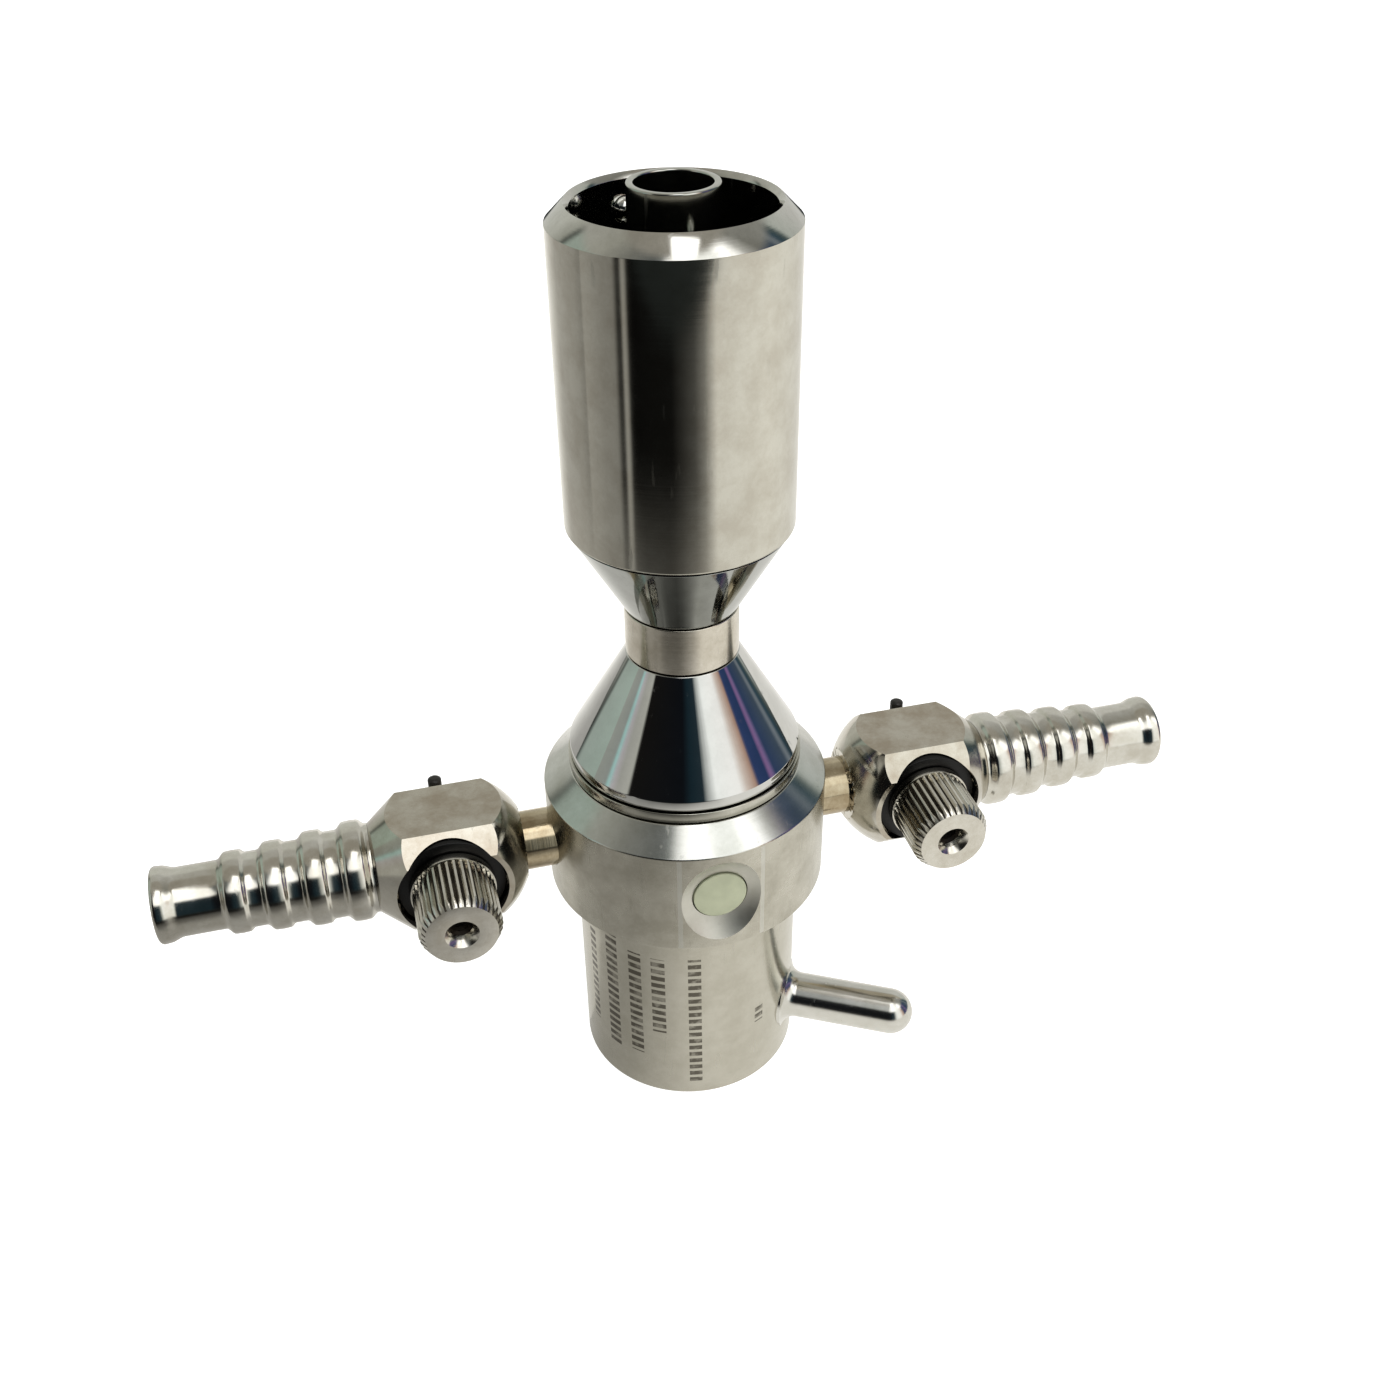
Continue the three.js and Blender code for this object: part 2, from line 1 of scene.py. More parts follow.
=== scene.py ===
# Twin-stopcock endoscope sheath adaptor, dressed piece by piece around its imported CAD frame.
# Metres, +Z up. Sizes are written in millimetres and turned to metres by MM.
from math import asin, atan2, cos, degrees, hypot, pi, radians, sin, sqrt

import bmesh
import bpy
from mathutils import Matrix, Vector


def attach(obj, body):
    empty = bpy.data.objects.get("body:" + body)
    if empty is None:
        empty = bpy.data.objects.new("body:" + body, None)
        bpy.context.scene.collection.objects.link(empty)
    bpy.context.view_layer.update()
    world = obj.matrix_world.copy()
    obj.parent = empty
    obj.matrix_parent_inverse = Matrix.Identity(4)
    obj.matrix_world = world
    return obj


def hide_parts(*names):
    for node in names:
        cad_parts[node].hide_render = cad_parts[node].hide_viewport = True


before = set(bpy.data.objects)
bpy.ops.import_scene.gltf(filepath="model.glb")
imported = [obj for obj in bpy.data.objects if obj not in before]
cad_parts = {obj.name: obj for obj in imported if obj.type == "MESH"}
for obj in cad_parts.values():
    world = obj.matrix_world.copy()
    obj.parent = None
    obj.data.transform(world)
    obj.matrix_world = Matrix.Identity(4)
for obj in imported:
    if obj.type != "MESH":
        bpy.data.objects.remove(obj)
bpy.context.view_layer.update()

MM = 0.001

# ---- lower body ----------------------------------------------------------------------------
# A turned stainless body, open below, that a sheath hub plugs into. Its flank is finely
# turned and then handled to a soft sheen, and plain ticks are etched into it. Fitted pieces
# stand one seam apart.

FINE_SIDES = 160
SEAM = 0.15
BODY_RADIUS, BODY_TOP, BODY_EDGE = 9.3, 19.55, 0.4
SPIGOT_RADIUS, SPIGOT_TOP = 8.0, 21.15
SOCKET_RADIUS, SOCKET_DEPTH, SOCKET_LEAD = 6.6, 13.5, 0.4
SOCKET_SEAL_HEIGHT, SOCKET_SEAL_HALF, SOCKET_GROOVE = 9.5, 0.75, 7.6
BODY_SEAL_HEIGHT, BODY_SEAL_HALF, BODY_SEAL_FLOOR = 20.35, 0.45, 7.2
BORE_RADIUS = 4.6


def arc(centre_radius, centre_height, radius, first, last, steps):
    """Points of a round stretch of an outline, from one angle to another in degrees."""
    points = []
    for step in range(steps + 1):
        angle = radians(first + (last - first) * step / steps)
        points.append((centre_radius + radius * cos(angle), centre_height + radius * sin(angle)))
    return points


def groove(wall, floor, middle, half):
    """Points of a square groove that an outline meets going up."""
    return [(wall, middle - half), (floor, middle - half), (floor, middle + half), (wall, middle + half)]


def soften(piece, edge, sharpest=28, crease=35):
    """Rounds off the edges sharper than one angle, and smooths the shading up to another."""
    bpy.ops.object.select_all(action="DESELECT")
    piece.select_set(True)
    bpy.context.view_layer.objects.active = piece
    if edge:
        round_off = piece.modifiers.new("edge", "BEVEL")
        round_off.width = edge * MM
        round_off.segments = 3
        round_off.limit_method = "ANGLE"
        round_off.angle_limit = radians(sharpest)
        bpy.ops.object.modifier_apply(modifier=round_off.name)
    bpy.ops.object.shade_smooth_by_angle(angle=radians(crease))
    if edge:
        weighting = piece.modifiers.new("shading", "WEIGHTED_NORMAL")
        weighting.keep_sharp = True
        bpy.ops.object.modifier_apply(modifier=weighting.name)


def turn(name, outline, sides=FINE_SIDES):
    """A lathe-turned piece about Z, from an outline of (radius, height) in millimetres."""
    bpy.ops.object.select_all(action="DESELECT")
    bpy.ops.mesh.primitive_plane_add(size=MM, location=(0, 0, 0))
    piece = bpy.context.object
    piece.name = name
    piece.data.name = name
    bpy.ops.object.mode_set(mode="EDIT")
    bpy.ops.mesh.select_mode(type="VERT")
    bpy.ops.mesh.merge(type="CENTER")
    radius, height = outline[0]
    bpy.ops.transform.translate(value=(radius * MM, 0, height * MM))
    for (r0, z0), (r1, z1) in zip(outline, outline[1:]):
        step = ((r1 - r0) * MM, 0, (z1 - z0) * MM)
        bpy.ops.mesh.extrude_region_move(TRANSFORM_OT_translate={"value": step})
    if outline[0][0] > 0 or outline[-1][0] > 0:
        work = bmesh.from_edit_mesh(piece.data)
        for corner in work.verts:
            corner.select = len(corner.link_edges) == 1
        work.select_flush_mode()
        bmesh.update_edit_mesh(piece.data)
        bpy.ops.mesh.edge_face_add()
    bpy.ops.mesh.select_all(action="SELECT")
    bpy.ops.mesh.spin(steps=sides, angle=2 * pi, center=(0, 0, 0), axis=(0, 0, 1))
    bpy.ops.mesh.select_all(action="SELECT")
    bpy.ops.mesh.remove_doubles(threshold=2e-7)
    bpy.ops.mesh.normals_make_consistent(inside=False)
    bpy.ops.object.mode_set(mode="OBJECT")
    return piece


def blank(name):
    """A new material, with its node tree and the shader in it."""
    material = bpy.data.materials.new(name)
    material.use_nodes = True
    return material, material.node_tree, material.node_tree.nodes["Principled BSDF"]


def node(tree, kind, sockets, result=0, **settings):
    """Adds a shader node with its settings, and gives back one of its outputs.

    Each socket, named or numbered, takes a plain value or another node's output.
    """
    made = tree.nodes.new("ShaderNode" + kind)
    for setting, value in settings.items():
        setattr(made, setting, value)
    for socket, value in sockets.items():
        if isinstance(value, bpy.types.NodeSocket):
            tree.links.new(value, made.inputs[socket])
        else:
            made.inputs[socket].default_value = value
    return made.outputs[result]


def maths(tree, operation, *values):
    """One arithmetic step on plain values or other nodes' outputs."""
    return node(tree, "Math", dict(enumerate(values)), operation=operation)


def mixed(tree, amount, first, second):
    """The first colour fading into the second as the amount goes from zero to one."""
    return node(tree, "Mix", {"Factor": amount, "A": first, "B": second}, "Result", data_type="RGBA")


def tone(tree, value, stops):
    """A colour ramp fed by a value, from (position, colour) stops."""
    ramp = tree.nodes.new("ShaderNodeValToRGB")
    band = ramp.color_ramp.elements
    band[0].position, band[0].color = stops[0][0], (*stops[0][1], 1)
    band[1].position, band[1].color = stops[-1][0], (*stops[-1][1], 1)
    for position, colour in stops[1:-1]:
        stop = band.new(position)
        stop.color = (*colour, 1)
    tree.links.new(value, ramp.inputs["Fac"])
    return ramp.outputs["Color"]


def split(tree, vector):
    """The three parts of a vector."""
    parts = tree.nodes.new("ShaderNodeSeparateXYZ")
    tree.links.new(vector, parts.inputs["Vector"])
    return parts.outputs["X"], parts.outputs["Y"], parts.outputs["Z"]


def roughen(tree, shader, height, strength, distance):
    """Presses a height pattern into the surface as bump."""
    bump = node(tree, "Bump", {"Height": height, "Strength": strength, "Distance": distance})
    tree.links.new(bump, shader.inputs["Normal"])


def steel(name, bright, dull, sheen, spread, lines, relief, centre=(0, 0, 0), turned=(0, 0, 0), drawn=0.0):
    """A turned steel finish: cloudy colour, uneven sheen, turning lines round an axis and scuffs.

    sheen is the roughness and spread how far it varies; lines is how many turning lines lie in a
    metre and relief how deep they are; centre and turned place the axis that the piece was turned
    about; drawn stretches the highlight across the turning lines.
    """
    material, tree, shader = blank(name)
    shader.inputs["Metallic"].default_value = 1.0
    shader.inputs["Anisotropic"].default_value = drawn
    shader.inputs["Anisotropic Rotation"].default_value = 0.25

    where = node(tree, "TexCoord", {}, "Object")
    axis = {"Location": [value * MM for value in centre], "Rotation": [radians(value) for value in turned]}
    local = node(tree, "Mapping", {"Vector": where, **axis}, vector_type="TEXTURE")
    right, back, along = split(tree, local)
    across = node(tree, "CombineXYZ", {"X": right, "Y": back})
    radius = node(tree, "VectorMath", {0: across}, "Value", operation="LENGTH")
    wound = node(tree, "CombineXYZ", {"X": radius, "Z": along})
    turning = node(tree, "TexNoise", {"Vector": wound, "Scale": lines, "Detail": 3.0, "Roughness": 0.6})
    cloud = node(tree, "TexNoise", {"Vector": where, "Scale": 340.0, "Detail": 7.0, "Roughness": 0.7})
    tree.links.new(tone(tree, cloud, ((0.36, dull), (0.62, bright))), shader.inputs["Base Color"])

    slope = {"Rotation": (0.35, 0.5, 0.2), "Scale": (1.0, 1.0, 0.14)}
    slant = node(tree, "Mapping", {"Vector": where, **slope})
    stray = node(tree, "TexNoise", {"Vector": slant, "Scale": 1900.0, "Detail": 2.0})
    scuff = tone(tree, stray, ((0.66, (0, 0, 0)), (0.72, (1, 1, 1))))
    sheens = {"To Min": max(0.01, sheen - spread), "To Max": sheen + spread}
    level = node(tree, "MapRange", {"Value": cloud, **sheens})
    worn = maths(tree, "MULTIPLY_ADD", scuff, 0.1, level)
    tree.links.new(worn, shader.inputs["Roughness"])
    roughen(tree, shader, maths(tree, "MULTIPLY_ADD", scuff, -0.25, turning), 1.0, relief * MM)
    if drawn:
        round_axis = node(tree, "Tangent", {}, direction_type="RADIAL", axis="Z")
        tree.links.new(round_axis, shader.inputs["Tangent"])
    return material


def dress(piece, material, slot, body, *nodes_replaced):
    """Gives a finished piece its finish, the CAD body it rides on and the nodes it replaces. The slot
    argument is not used.
    """
    piece.data.materials.clear()
    piece.data.materials.append(material)
    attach(piece, body)
    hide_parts(*nodes_replaced)


body_finish = steel(
    "sheath_body_steel",
    bright=(0.59, 0.57, 0.50),
    dull=(0.52, 0.50, 0.43),
    sheen=0.2,
    spread=0.05,
    lines=5200,
    relief=0.002,
    drawn=0.35,
)


def stain(material, amount, colour):
    """Lays a colour over a material's own, by an amount from zero to one."""
    tree = material.node_tree
    base = tree.nodes["Principled BSDF"].inputs["Base Color"]
    own = base.links[0].from_socket
    tree.links.new(mixed(tree, amount, own, (*colour, 1)), base)


def etch(material, columns, tick):
    """Burns columns of plain dark ticks round a piece that was turned about Z.

    Each column is (bearing in degrees, width, low, high) in millimetres.
    """
    tree = material.node_tree
    where = node(tree, "TexCoord", {}, "Object")
    right, back, up = split(tree, where)
    bearing = maths(tree, "ARCTAN2", back, right)
    beat = maths(tree, "MODULO", up, tick * MM)
    ticks = maths(tree, "COMPARE", beat, 0.35 * tick * MM, 0.3 * tick * MM)
    marks = None
    for heading, width, low, high in columns:
        strip = maths(tree, "COMPARE", bearing, radians(heading), width / BODY_RADIUS / 2)
        band = maths(tree, "COMPARE", up, (low + high) / 2 * MM, (high - low) / 2 * MM)
        column = maths(tree, "MULTIPLY", maths(tree, "MULTIPLY", strip, band), ticks)
        marks = column if marks is None else maths(tree, "MAXIMUM", marks, column)
    wander = node(tree, "TexNoise", {"Vector": where, "Scale": 1400.0})
    wear = {"From Min": 0.36, "From Max": 0.5, "To Min": 0.45, "To Max": 0.82}
    worn = node(tree, "MapRange", {"Value": wander, **wear})
    stain(material, maths(tree, "MULTIPLY", marks, worn), (0.075, 0.065, 0.05))


def darken_above(material, low, high, painted_shade):
    """Darkens a material with a painted shade colour, fading in from one height to the next."""
    tree = material.node_tree
    right, back, up = split(tree, node(tree, "TexCoord", {}, "Object"))
    fade = node(tree, "MapRange", {"Value": up, "From Min": low * MM, "From Max": high * MM})
    stain(material, fade, painted_shade)


ETCHED_COLUMNS = (
    (-150, 0.9, 5.2, 15.7),
    (-134, 1.3, 4.0, 17.0),
    (-119, 1.2, 4.4, 16.2),
    (-106, 1.2, 7.5, 16.1),
    (-87, 1.1, 1.6, 16.3),
    (-50, 0.9, 6.8, 8.8),
)
etch(body_finish, ETCHED_COLUMNS, tick=0.8)
# Painted shade: the body's flank darkens just under the collar's overhang, where the collar's shadow
# falls.
darken_above(body_finish, 17.55, 18.1, (0.10, 0.09, 0.07))
lower_body = turn(
    "sheath_body",
    [
        (SOCKET_RADIUS + SOCKET_LEAD, 0),
        *arc(BODY_RADIUS - BODY_EDGE, BODY_EDGE, BODY_EDGE, -90, 0, 6),
        (BODY_RADIUS, BODY_TOP),
        (SPIGOT_RADIUS, BODY_TOP),
        *groove(SPIGOT_RADIUS, BODY_SEAL_FLOOR, BODY_SEAL_HEIGHT, BODY_SEAL_HALF),
        (SPIGOT_RADIUS, SPIGOT_TOP),
        (BORE_RADIUS, SPIGOT_TOP),
        (BORE_RADIUS, SOCKET_DEPTH),
        (SOCKET_RADIUS, SOCKET_DEPTH),
        *reversed(groove(SOCKET_RADIUS, SOCKET_GROOVE, SOCKET_SEAL_HEIGHT, SOCKET_SEAL_HALF)),
        (SOCKET_RADIUS, SOCKET_LEAD),
    ],
)
soften(lower_body, 0.06)
dress(lower_body, body_finish, "body_steel", "base", "lower_body")

# ---- guide pin -----------------------------------------------------------------------------
# A round-nosed pin brazed into the body's flank and polished with its swept root.

PIN_RADIUS, PIN_HEIGHT, PIN_TIP, PIN_DEGREES = 1.97, 5.3, 20.4, -15.7
PIN_SHANK_END = 7.2
ROOT_SWEEP, ROOT_RADIUS, ROOT_SEAT = 1.2, 3.1, 8.3


def lay(piece, pitch, heading, place=(0, 0, 0)):
    """Turns a piece built about Z to its own direction and puts it in place, all in its mesh."""
    bpy.ops.object.select_all(action="DESELECT")
    piece.select_set(True)
    bpy.context.view_layer.objects.active = piece
    piece.rotation_euler = (radians(pitch[0]), radians(pitch[1]), radians(heading))
    piece.location = [value * MM for value in place]
    bpy.ops.object.transform_apply(location=True, rotation=True, scale=True)


pin_finish = steel(
    "guide_pin_polish",
    bright=(0.70, 0.69, 0.65),
    dull=(0.62, 0.61, 0.56),
    sheen=0.18,
    spread=0.04,
    lines=2500,
    relief=0.0012,
)
guide_pin = turn(
    "guide_pin_polished",
    [
        (0, PIN_SHANK_END),
        (1.5, PIN_SHANK_END),
        (1.5, 8.0),
        (ROOT_RADIUS, ROOT_SEAT),
        *arc(PIN_RADIUS + ROOT_SWEEP, BODY_RADIUS - 0.25 + ROOT_SWEEP, ROOT_SWEEP, 262, 180, 10),
        *arc(0, PIN_TIP - PIN_RADIUS, PIN_RADIUS, 0, 90, 14),
    ],
    sides=96,
)
soften(guide_pin, 0)
lay(guide_pin, (0, 90), PIN_DEGREES, (0, 0, PIN_HEIGHT))
dress(guide_pin, pin_finish, "polished_steel", "base", "guide_pin")

# ---- seals in the lower body ---------------------------------------------------------------
# Moulded rubber rings, one that grips the sheath hub and one under the collar.

SOCKET_SEAL_CENTRE, SOCKET_SEAL_SECTION = 6.85, 0.6
BODY_SEAL_CENTRE, BODY_SEAL_SECTION = 7.65, 0.35


def rubber(name, colour, dust, roughness):
    """Moulded black rubber or hard plastic with a dusty bloom and a fine mould grain."""
    material, tree, shader = blank(name)
    where = node(tree, "TexCoord", {}, "Object")
    bloom = node(tree, "TexNoise", {"Vector": where, "Scale": 500.0, "Detail": 4.0})
    tree.links.new(tone(tree, bloom, ((0.4, colour), (0.75, dust))), shader.inputs["Base Color"])
    sheens = {"To Min": roughness - 0.1, "To Max": roughness + 0.12}
    level = node(tree, "MapRange", {"Value": bloom, **sheens})
    tree.links.new(level, shader.inputs["Roughness"])
    grain = node(tree, "TexNoise", {"Vector": where, "Scale": 9000.0})
    roughen(tree, shader, grain, 0.4, 0.004 * MM)
    return material


seal_rubber = rubber("seal_rubber", (0.012, 0.012, 0.012), (0.03, 0.03, 0.028), 0.5)


def seal_ring(seal, centre, height, section, body):
    """One rubber ring of round section, named for the seal that it stands for."""
    ring = turn(seal + "_ring", arc(centre, height, section, 0, 345, 23), sides=96)
    soften(ring, 0)
    dress(ring, seal_rubber, "seal_rubber", body, seal)


seal_ring("socket_seal", SOCKET_SEAL_CENTRE, SOCKET_SEAL_HEIGHT, SOCKET_SEAL_SECTION, "base")
seal_ring("body_seal", BODY_SEAL_CENTRE, BODY_SEAL_HEIGHT, BODY_SEAL_SECTION, "base")

# ---- stopcock collar -----------------------------------------------------------------------
# The collar is screwed on the body. Its flank is tumbled to a soft grey, its chamfer is cut
# bright, and a round dish is milled and polished into its front for the button. Holes are cut
# one fit wider than what they hold, with cutters that run past the face.

COLLAR_RADIUS, COLLAR_BOTTOM, COLLAR_TOP = 11.5, 19.7, 30.7
CHAMFER_WIDTH, CHAMFER_HEIGHT = 2.13, 1.73
COUNTERBORE_RADIUS, LATCH_FLOOR, CHAMBER_RADIUS = 9.05, 27.75, 6.2
BRANCH_HEIGHT, BRANCH_DEGREES = 24.4, 14
BRANCH_PLACE = (0, 0, BRANCH_HEIGHT)
BUTTON_DEGREES = BRANCH_DEGREES - 90
DISH_RADIUS, DISH_DEPTH = 6.6, 1.3
BUTTON_RADIUS, BUTTON_GAP = 2.15, 0.09
STEM_RADIUS, STEM_START = 2.42, 8.6
POCKET_INNER, POCKET_OUTER = 7.1, 9.5
LIP_RADIUS, LIP_ROOM = 2.45, 0.08
FIT, CUTTER_PAST = 0.02, 1


def combine(piece, tool, operation="DIFFERENCE"):
    """Cuts a piece with a tool, or keeps only what lies in both, and clears the tool away."""
    bpy.ops.object.select_all(action="DESELECT")
    piece.select_set(True)
    bpy.context.view_layer.objects.active = piece
    cutting = piece.modifiers.new("cut", "BOOLEAN")
    cutting.operation = operation
    cutting.solver = "EXACT"
    cutting.object = tool
    bpy.ops.object.modifier_apply(modifier=cutting.name)
    bpy.ops.mesh.customdata_custom_splitnormals_clear()
    bpy.data.objects.remove(tool)


def hold(outline, reach):
    """The outline with a point added close to both sides of every corner, to hold the shading."""
    held = []
    loop = outline + outline[:1]
    for (r0, z0), (r1, z1) in zip(loop, loop[1:]):
        length = hypot(r1 - r0, z1 - z0)
        share = reach / length
        held.append((r0, z0))
        if share < 0.4:
            held.append((r0 + (r1 - r0) * share, z0 + (z1 - z0) * share))
            held.append((r1 - (r1 - r0) * share, z1 - (z1 - z0) * share))
    return held


def rod(name, radius, low, high, sides=96):
    """A plain round bar about Z, used as a cutter."""
    return turn(name, [(0, low), (radius, low), (radius, high), (0, high)], sides)


collar_finish = steel(
    "collar_satin_steel",
    bright=(0.60, 0.58, 0.51),
    dull=(0.47, 0.45, 0.385),
    sheen=0.26,
    spread=0.07,
    lines=4200,
    relief=0.0025,
    drawn=0.3,
)
dish_finish = steel(
    "collar_dish_polish",
    bright=(0.70, 0.69, 0.63),
    dull=(0.61, 0.60, 0.54),
    sheen=0.44,
    spread=0.06,
    lines=3000,
    relief=0.002,
)
chamfer_finish = steel(
    "collar_chamfer_cut",
    bright=(0.64, 0.64, 0.61),
    dull=(0.55, 0.55, 0.51),
    sheen=0.16,
    spread=0.04,
    lines=7000,
    relief=0.003,
    drawn=0.3,
)
collar_outline = hold(
    [
        (SPIGOT_RADIUS + SEAM, COLLAR_BOTTOM),
        (COLLAR_RADIUS, COLLAR_BOTTOM),
        (COLLAR_RADIUS, COLLAR_TOP - CHAMFER_HEIGHT),
        (COLLAR_RADIUS - CHAMFER_WIDTH, COLLAR_TOP),
        (COUNTERBORE_RADIUS, COLLAR_TOP),
        (COUNTERBORE_RADIUS, LATCH_FLOOR),
        (CHAMBER_RADIUS, LATCH_FLOOR),
        (CHAMBER_RADIUS, SPIGOT_TOP + SEAM),
        (SPIGOT_RADIUS + SEAM, SPIGOT_TOP + SEAM),
    ],
    reach=0.14,
)
collar = turn("stopcock_collar_turned", collar_outline, sides=192)
soften(collar, 0.06)
for heading in (BRANCH_DEGREES, BRANCH_DEGREES + 180):
    stem_hole = rod("stem_hole", STEM_RADIUS + FIT, STEM_START - SEAM, COLLAR_RADIUS + CUTTER_PAST)
    lay(stem_hole, (0, 90), heading, BRANCH_PLACE)
    combine(collar, stem_hole)
dish_height = COLLAR_RADIUS - DISH_DEPTH + DISH_RADIUS
dish = turn("dish", arc(0, dish_height, DISH_RADIUS, -90, 90, 48), sides=128)
lay(dish, (0, 90), BUTTON_DEGREES, BRANCH_PLACE)
combine(collar, dish)
button_hole = turn(
    "button_hole",
    [
        (0, POCKET_INNER),
        (LIP_RADIUS + LIP_ROOM, POCKET_INNER),
        (LIP_RADIUS + LIP_ROOM, POCKET_OUTER),
        (BUTTON_RADIUS + BUTTON_GAP, POCKET_OUTER),
        (BUTTON_RADIUS + BUTTON_GAP, COLLAR_RADIUS),
        (0, COLLAR_RADIUS),
    ],
    sides=96,
)
lay(button_hole, (0, 90), BUTTON_DEGREES, BRANCH_PLACE)
combine(collar, button_hole)
soften(collar, 0, crease=24)
dress(collar, collar_finish, "satin_steel", "base", "stopcock_collar")
collar.data.materials.append(dish_finish)
collar.data.materials.append(chamfer_finish)
dish_centre = Matrix.Rotation(radians(BUTTON_DEGREES), 4, "Z") @ Vector((dish_height * MM, 0, 0))
dish_centre.z = BRANCH_HEIGHT * MM
for face in collar.data.polygons:
    away = (face.center - dish_centre).length
    middle = hypot(face.center.x, face.center.y)
    if abs(away - DISH_RADIUS * MM) < 0.03 * MM and middle > (COLLAR_RADIUS - DISH_DEPTH - 0.1) * MM:
        face.material_index = 1
    elif face.center.z > (COLLAR_TOP - CHAMFER_HEIGHT) * MM and 0.3 < face.normal.z < 0.99:
        face.material_index = 2

# ---- latch ---------------------------------------------------------------------------------
# The push button is a pale bead-blasted cap in a thin dark gap. Behind it slides the pressed
# latch plate, returned by a small coil spring; both keep their CAD shape.

BUTTON_BACK, BUTTON_FACE, BUTTON_LIP, BUTTON_CROWN = 9.1, 10.75, 0.3, 0.02


def blasted(name, pale, deep):
    """A pale bead-blasted face, slightly uneven in tone, with a fine grain."""
    material, tree, shader = blank(name)
    shader.inputs["Metallic"].default_value = 0.25
    shader.inputs["Roughness"].default_value = 0.5
    where = node(tree, "TexCoord", {}, "Object")
    mottle = node(tree, "TexNoise", {"Vector": where, "Scale": 900.0, "Detail": 4.0})
    tree.links.new(tone(tree, mottle, ((0.3, deep), (0.7, pale))), shader.inputs["Base Color"])
    grain = node(tree, "TexNoise", {"Vector": where, "Scale": 12000.0})
    roughen(tree, shader, grain, 0.5, 0.004 * MM)
    return material


button_finish = blasted("latch_button_blasted", (0.55, 0.575, 0.42), (0.48, 0.505, 0.365))
latch_button = turn(
    "latch_button_cap",
    [
        (0, BUTTON_BACK),
        (LIP_RADIUS, BUTTON_BACK),
        (LIP_RADIUS, BUTTON_BACK + BUTTON_LIP),
        (BUTTON_RADIUS, BUTTON_BACK + BUTTON_LIP),
        (BUTTON_RADIUS, BUTTON_FACE - BUTTON_CROWN),
        (0, BUTTON_FACE),
    ],
    sides=96,
)
soften(latch_button, 0.08)
lay(latch_button, (0, 90), BUTTON_DEGREES, BRANCH_PLACE)
dress(latch_button, button_finish, "button_steel", "latch", "latch_button")
spring_finish = steel(
    "latch_spring_steel",
    bright=(0.62, 0.61, 0.58),
    dull=(0.5, 0.49, 0.45),
    sheen=0.2,
    spread=0.05,
    lines=6000,
    relief=0.001,
)
for kept_node in ("latch_ring", "latch_spring"):
    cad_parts[kept_node].data.materials.clear()
    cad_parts[kept_node].data.materials.append(spring_finish)

# ---- cap ring ------------------------------------------------------------------------------
# The thin turned ring that closes the collar over the latch. Only its bright band shows.

CAP_RADIUS, CAP_BOTTOM, CAP_TOP, CAP_SKIRT = 9.37, 30.85, 31.7, 28.85

cap_finish = steel(
    "cap_ring_steel",
    bright=(0.60, 0.59, 0.53),
    dull=(0.50, 0.49, 0.43),
    sheen=0.18,
    spread=0.05,
    lines=6000,
    relief=0.002,
    drawn=0.4,
)
cap_ring = turn(
    "cap_ring_turned",
    [
        (CHAMBER_RADIUS, CAP_SKIRT),
        (COUNTERBORE_RADIUS - SEAM, CAP_SKIRT),
        (COUNTERBORE_RADIUS - SEAM, CAP_BOTTOM),
        (CAP_RADIUS, CAP_BOTTOM),
        (CAP_RADIUS, CAP_TOP),
        (CHAMBER_RADIUS, CAP_TOP),
    ],
)
soften(cap_ring, 0.06)
dress(cap_ring, cap_finish, "satin_steel", "base", "cap_ring")

# ---- shoulder cone -------------------------------------------------------------------------
# The mirror-polished cone of the coupling. Its spigot runs down into the collar, with a seal
# and the groove that the latch plate holds.

SHOULDER_RADIUS, SHOULDER_BOTTOM, FLANGE_TOP, CONE_TOP = 9.2, 31.85, 32.7, 40.9
CONE_SPIGOT_RADIUS, CONE_SPIGOT_END = 6.0, 25.9
CONE_SEAL_HEIGHT, CONE_SEAL_HALF, CONE_SEAL_FLOOR = 26.825, 0.525, 5.1
CONE_SEAL_CENTRE, CONE_SEAL_SECTION = 5.625, 0.45
LATCH_GROOVE_HEIGHT, LATCH_GROOVE_HALF, LATCH_GROOVE_FLOOR = 28.3, 0.55, 5.2
NECK_RADIUS, TUBE_FIT, TUBE_SEAT = 4.4, 3.25, 33.5

mirror_finish = steel(
    "cone_mirror_polish",
    bright=(0.66, 0.66, 0.64),
    dull=(0.60, 0.60, 0.58),
    sheen=0.04,
    spread=0.02,
    lines=1500,
    relief=0.0003,
)
shoulder_cone = turn(
    "shoulder_cone_polished",
    [
        (BORE_RADIUS, CONE_SPIGOT_END),
        (CONE_SPIGOT_RADIUS, CONE_SPIGOT_END),
        *groove(CONE_SPIGOT_RADIUS, CONE_SEAL_FLOOR, CONE_SEAL_HEIGHT, CONE_SEAL_HALF),
        *groove(CONE_SPIGOT_RADIUS, LATCH_GROOVE_FLOOR, LATCH_GROOVE_HEIGHT, LATCH_GROOVE_HALF),
        (CONE_SPIGOT_RADIUS, SHOULDER_BOTTOM),
        (SHOULDER_RADIUS, SHOULDER_BOTTOM),
        (SHOULDER_RADIUS, FLANGE_TOP),
        (NECK_RADIUS, CONE_TOP),
        (TUBE_FIT, CONE_TOP),
        (TUBE_FIT, TUBE_SEAT),
        (BORE_RADIUS, TUBE_SEAT),
    ],
    sides=192,
)
soften(shoulder_cone, 0.07)
dress(shoulder_cone, mirror_finish, "polished_steel", "coupling", "shoulder_cone")

seal_ring("spigot_seal", CONE_SEAL_CENTRE, CONE_SEAL_HEIGHT, CONE_SEAL_SECTION, "coupling")

# ---- neck ----------------------------------------------------------------------------------
# A plain turned sleeve between the cones, left satin and a little brown from brazing.

NECK_BOTTOM, NECK_TOP = 41.05, 44.95

neck_finish = steel(
    "neck_brazed_steel",
    bright=(0.74, 0.70, 0.62),
    dull=(0.58, 0.54, 0.46),
    sheen=0.2,
    spread=0.06,
    lines=6500,
    relief=0.004,
    drawn=0.3,
)


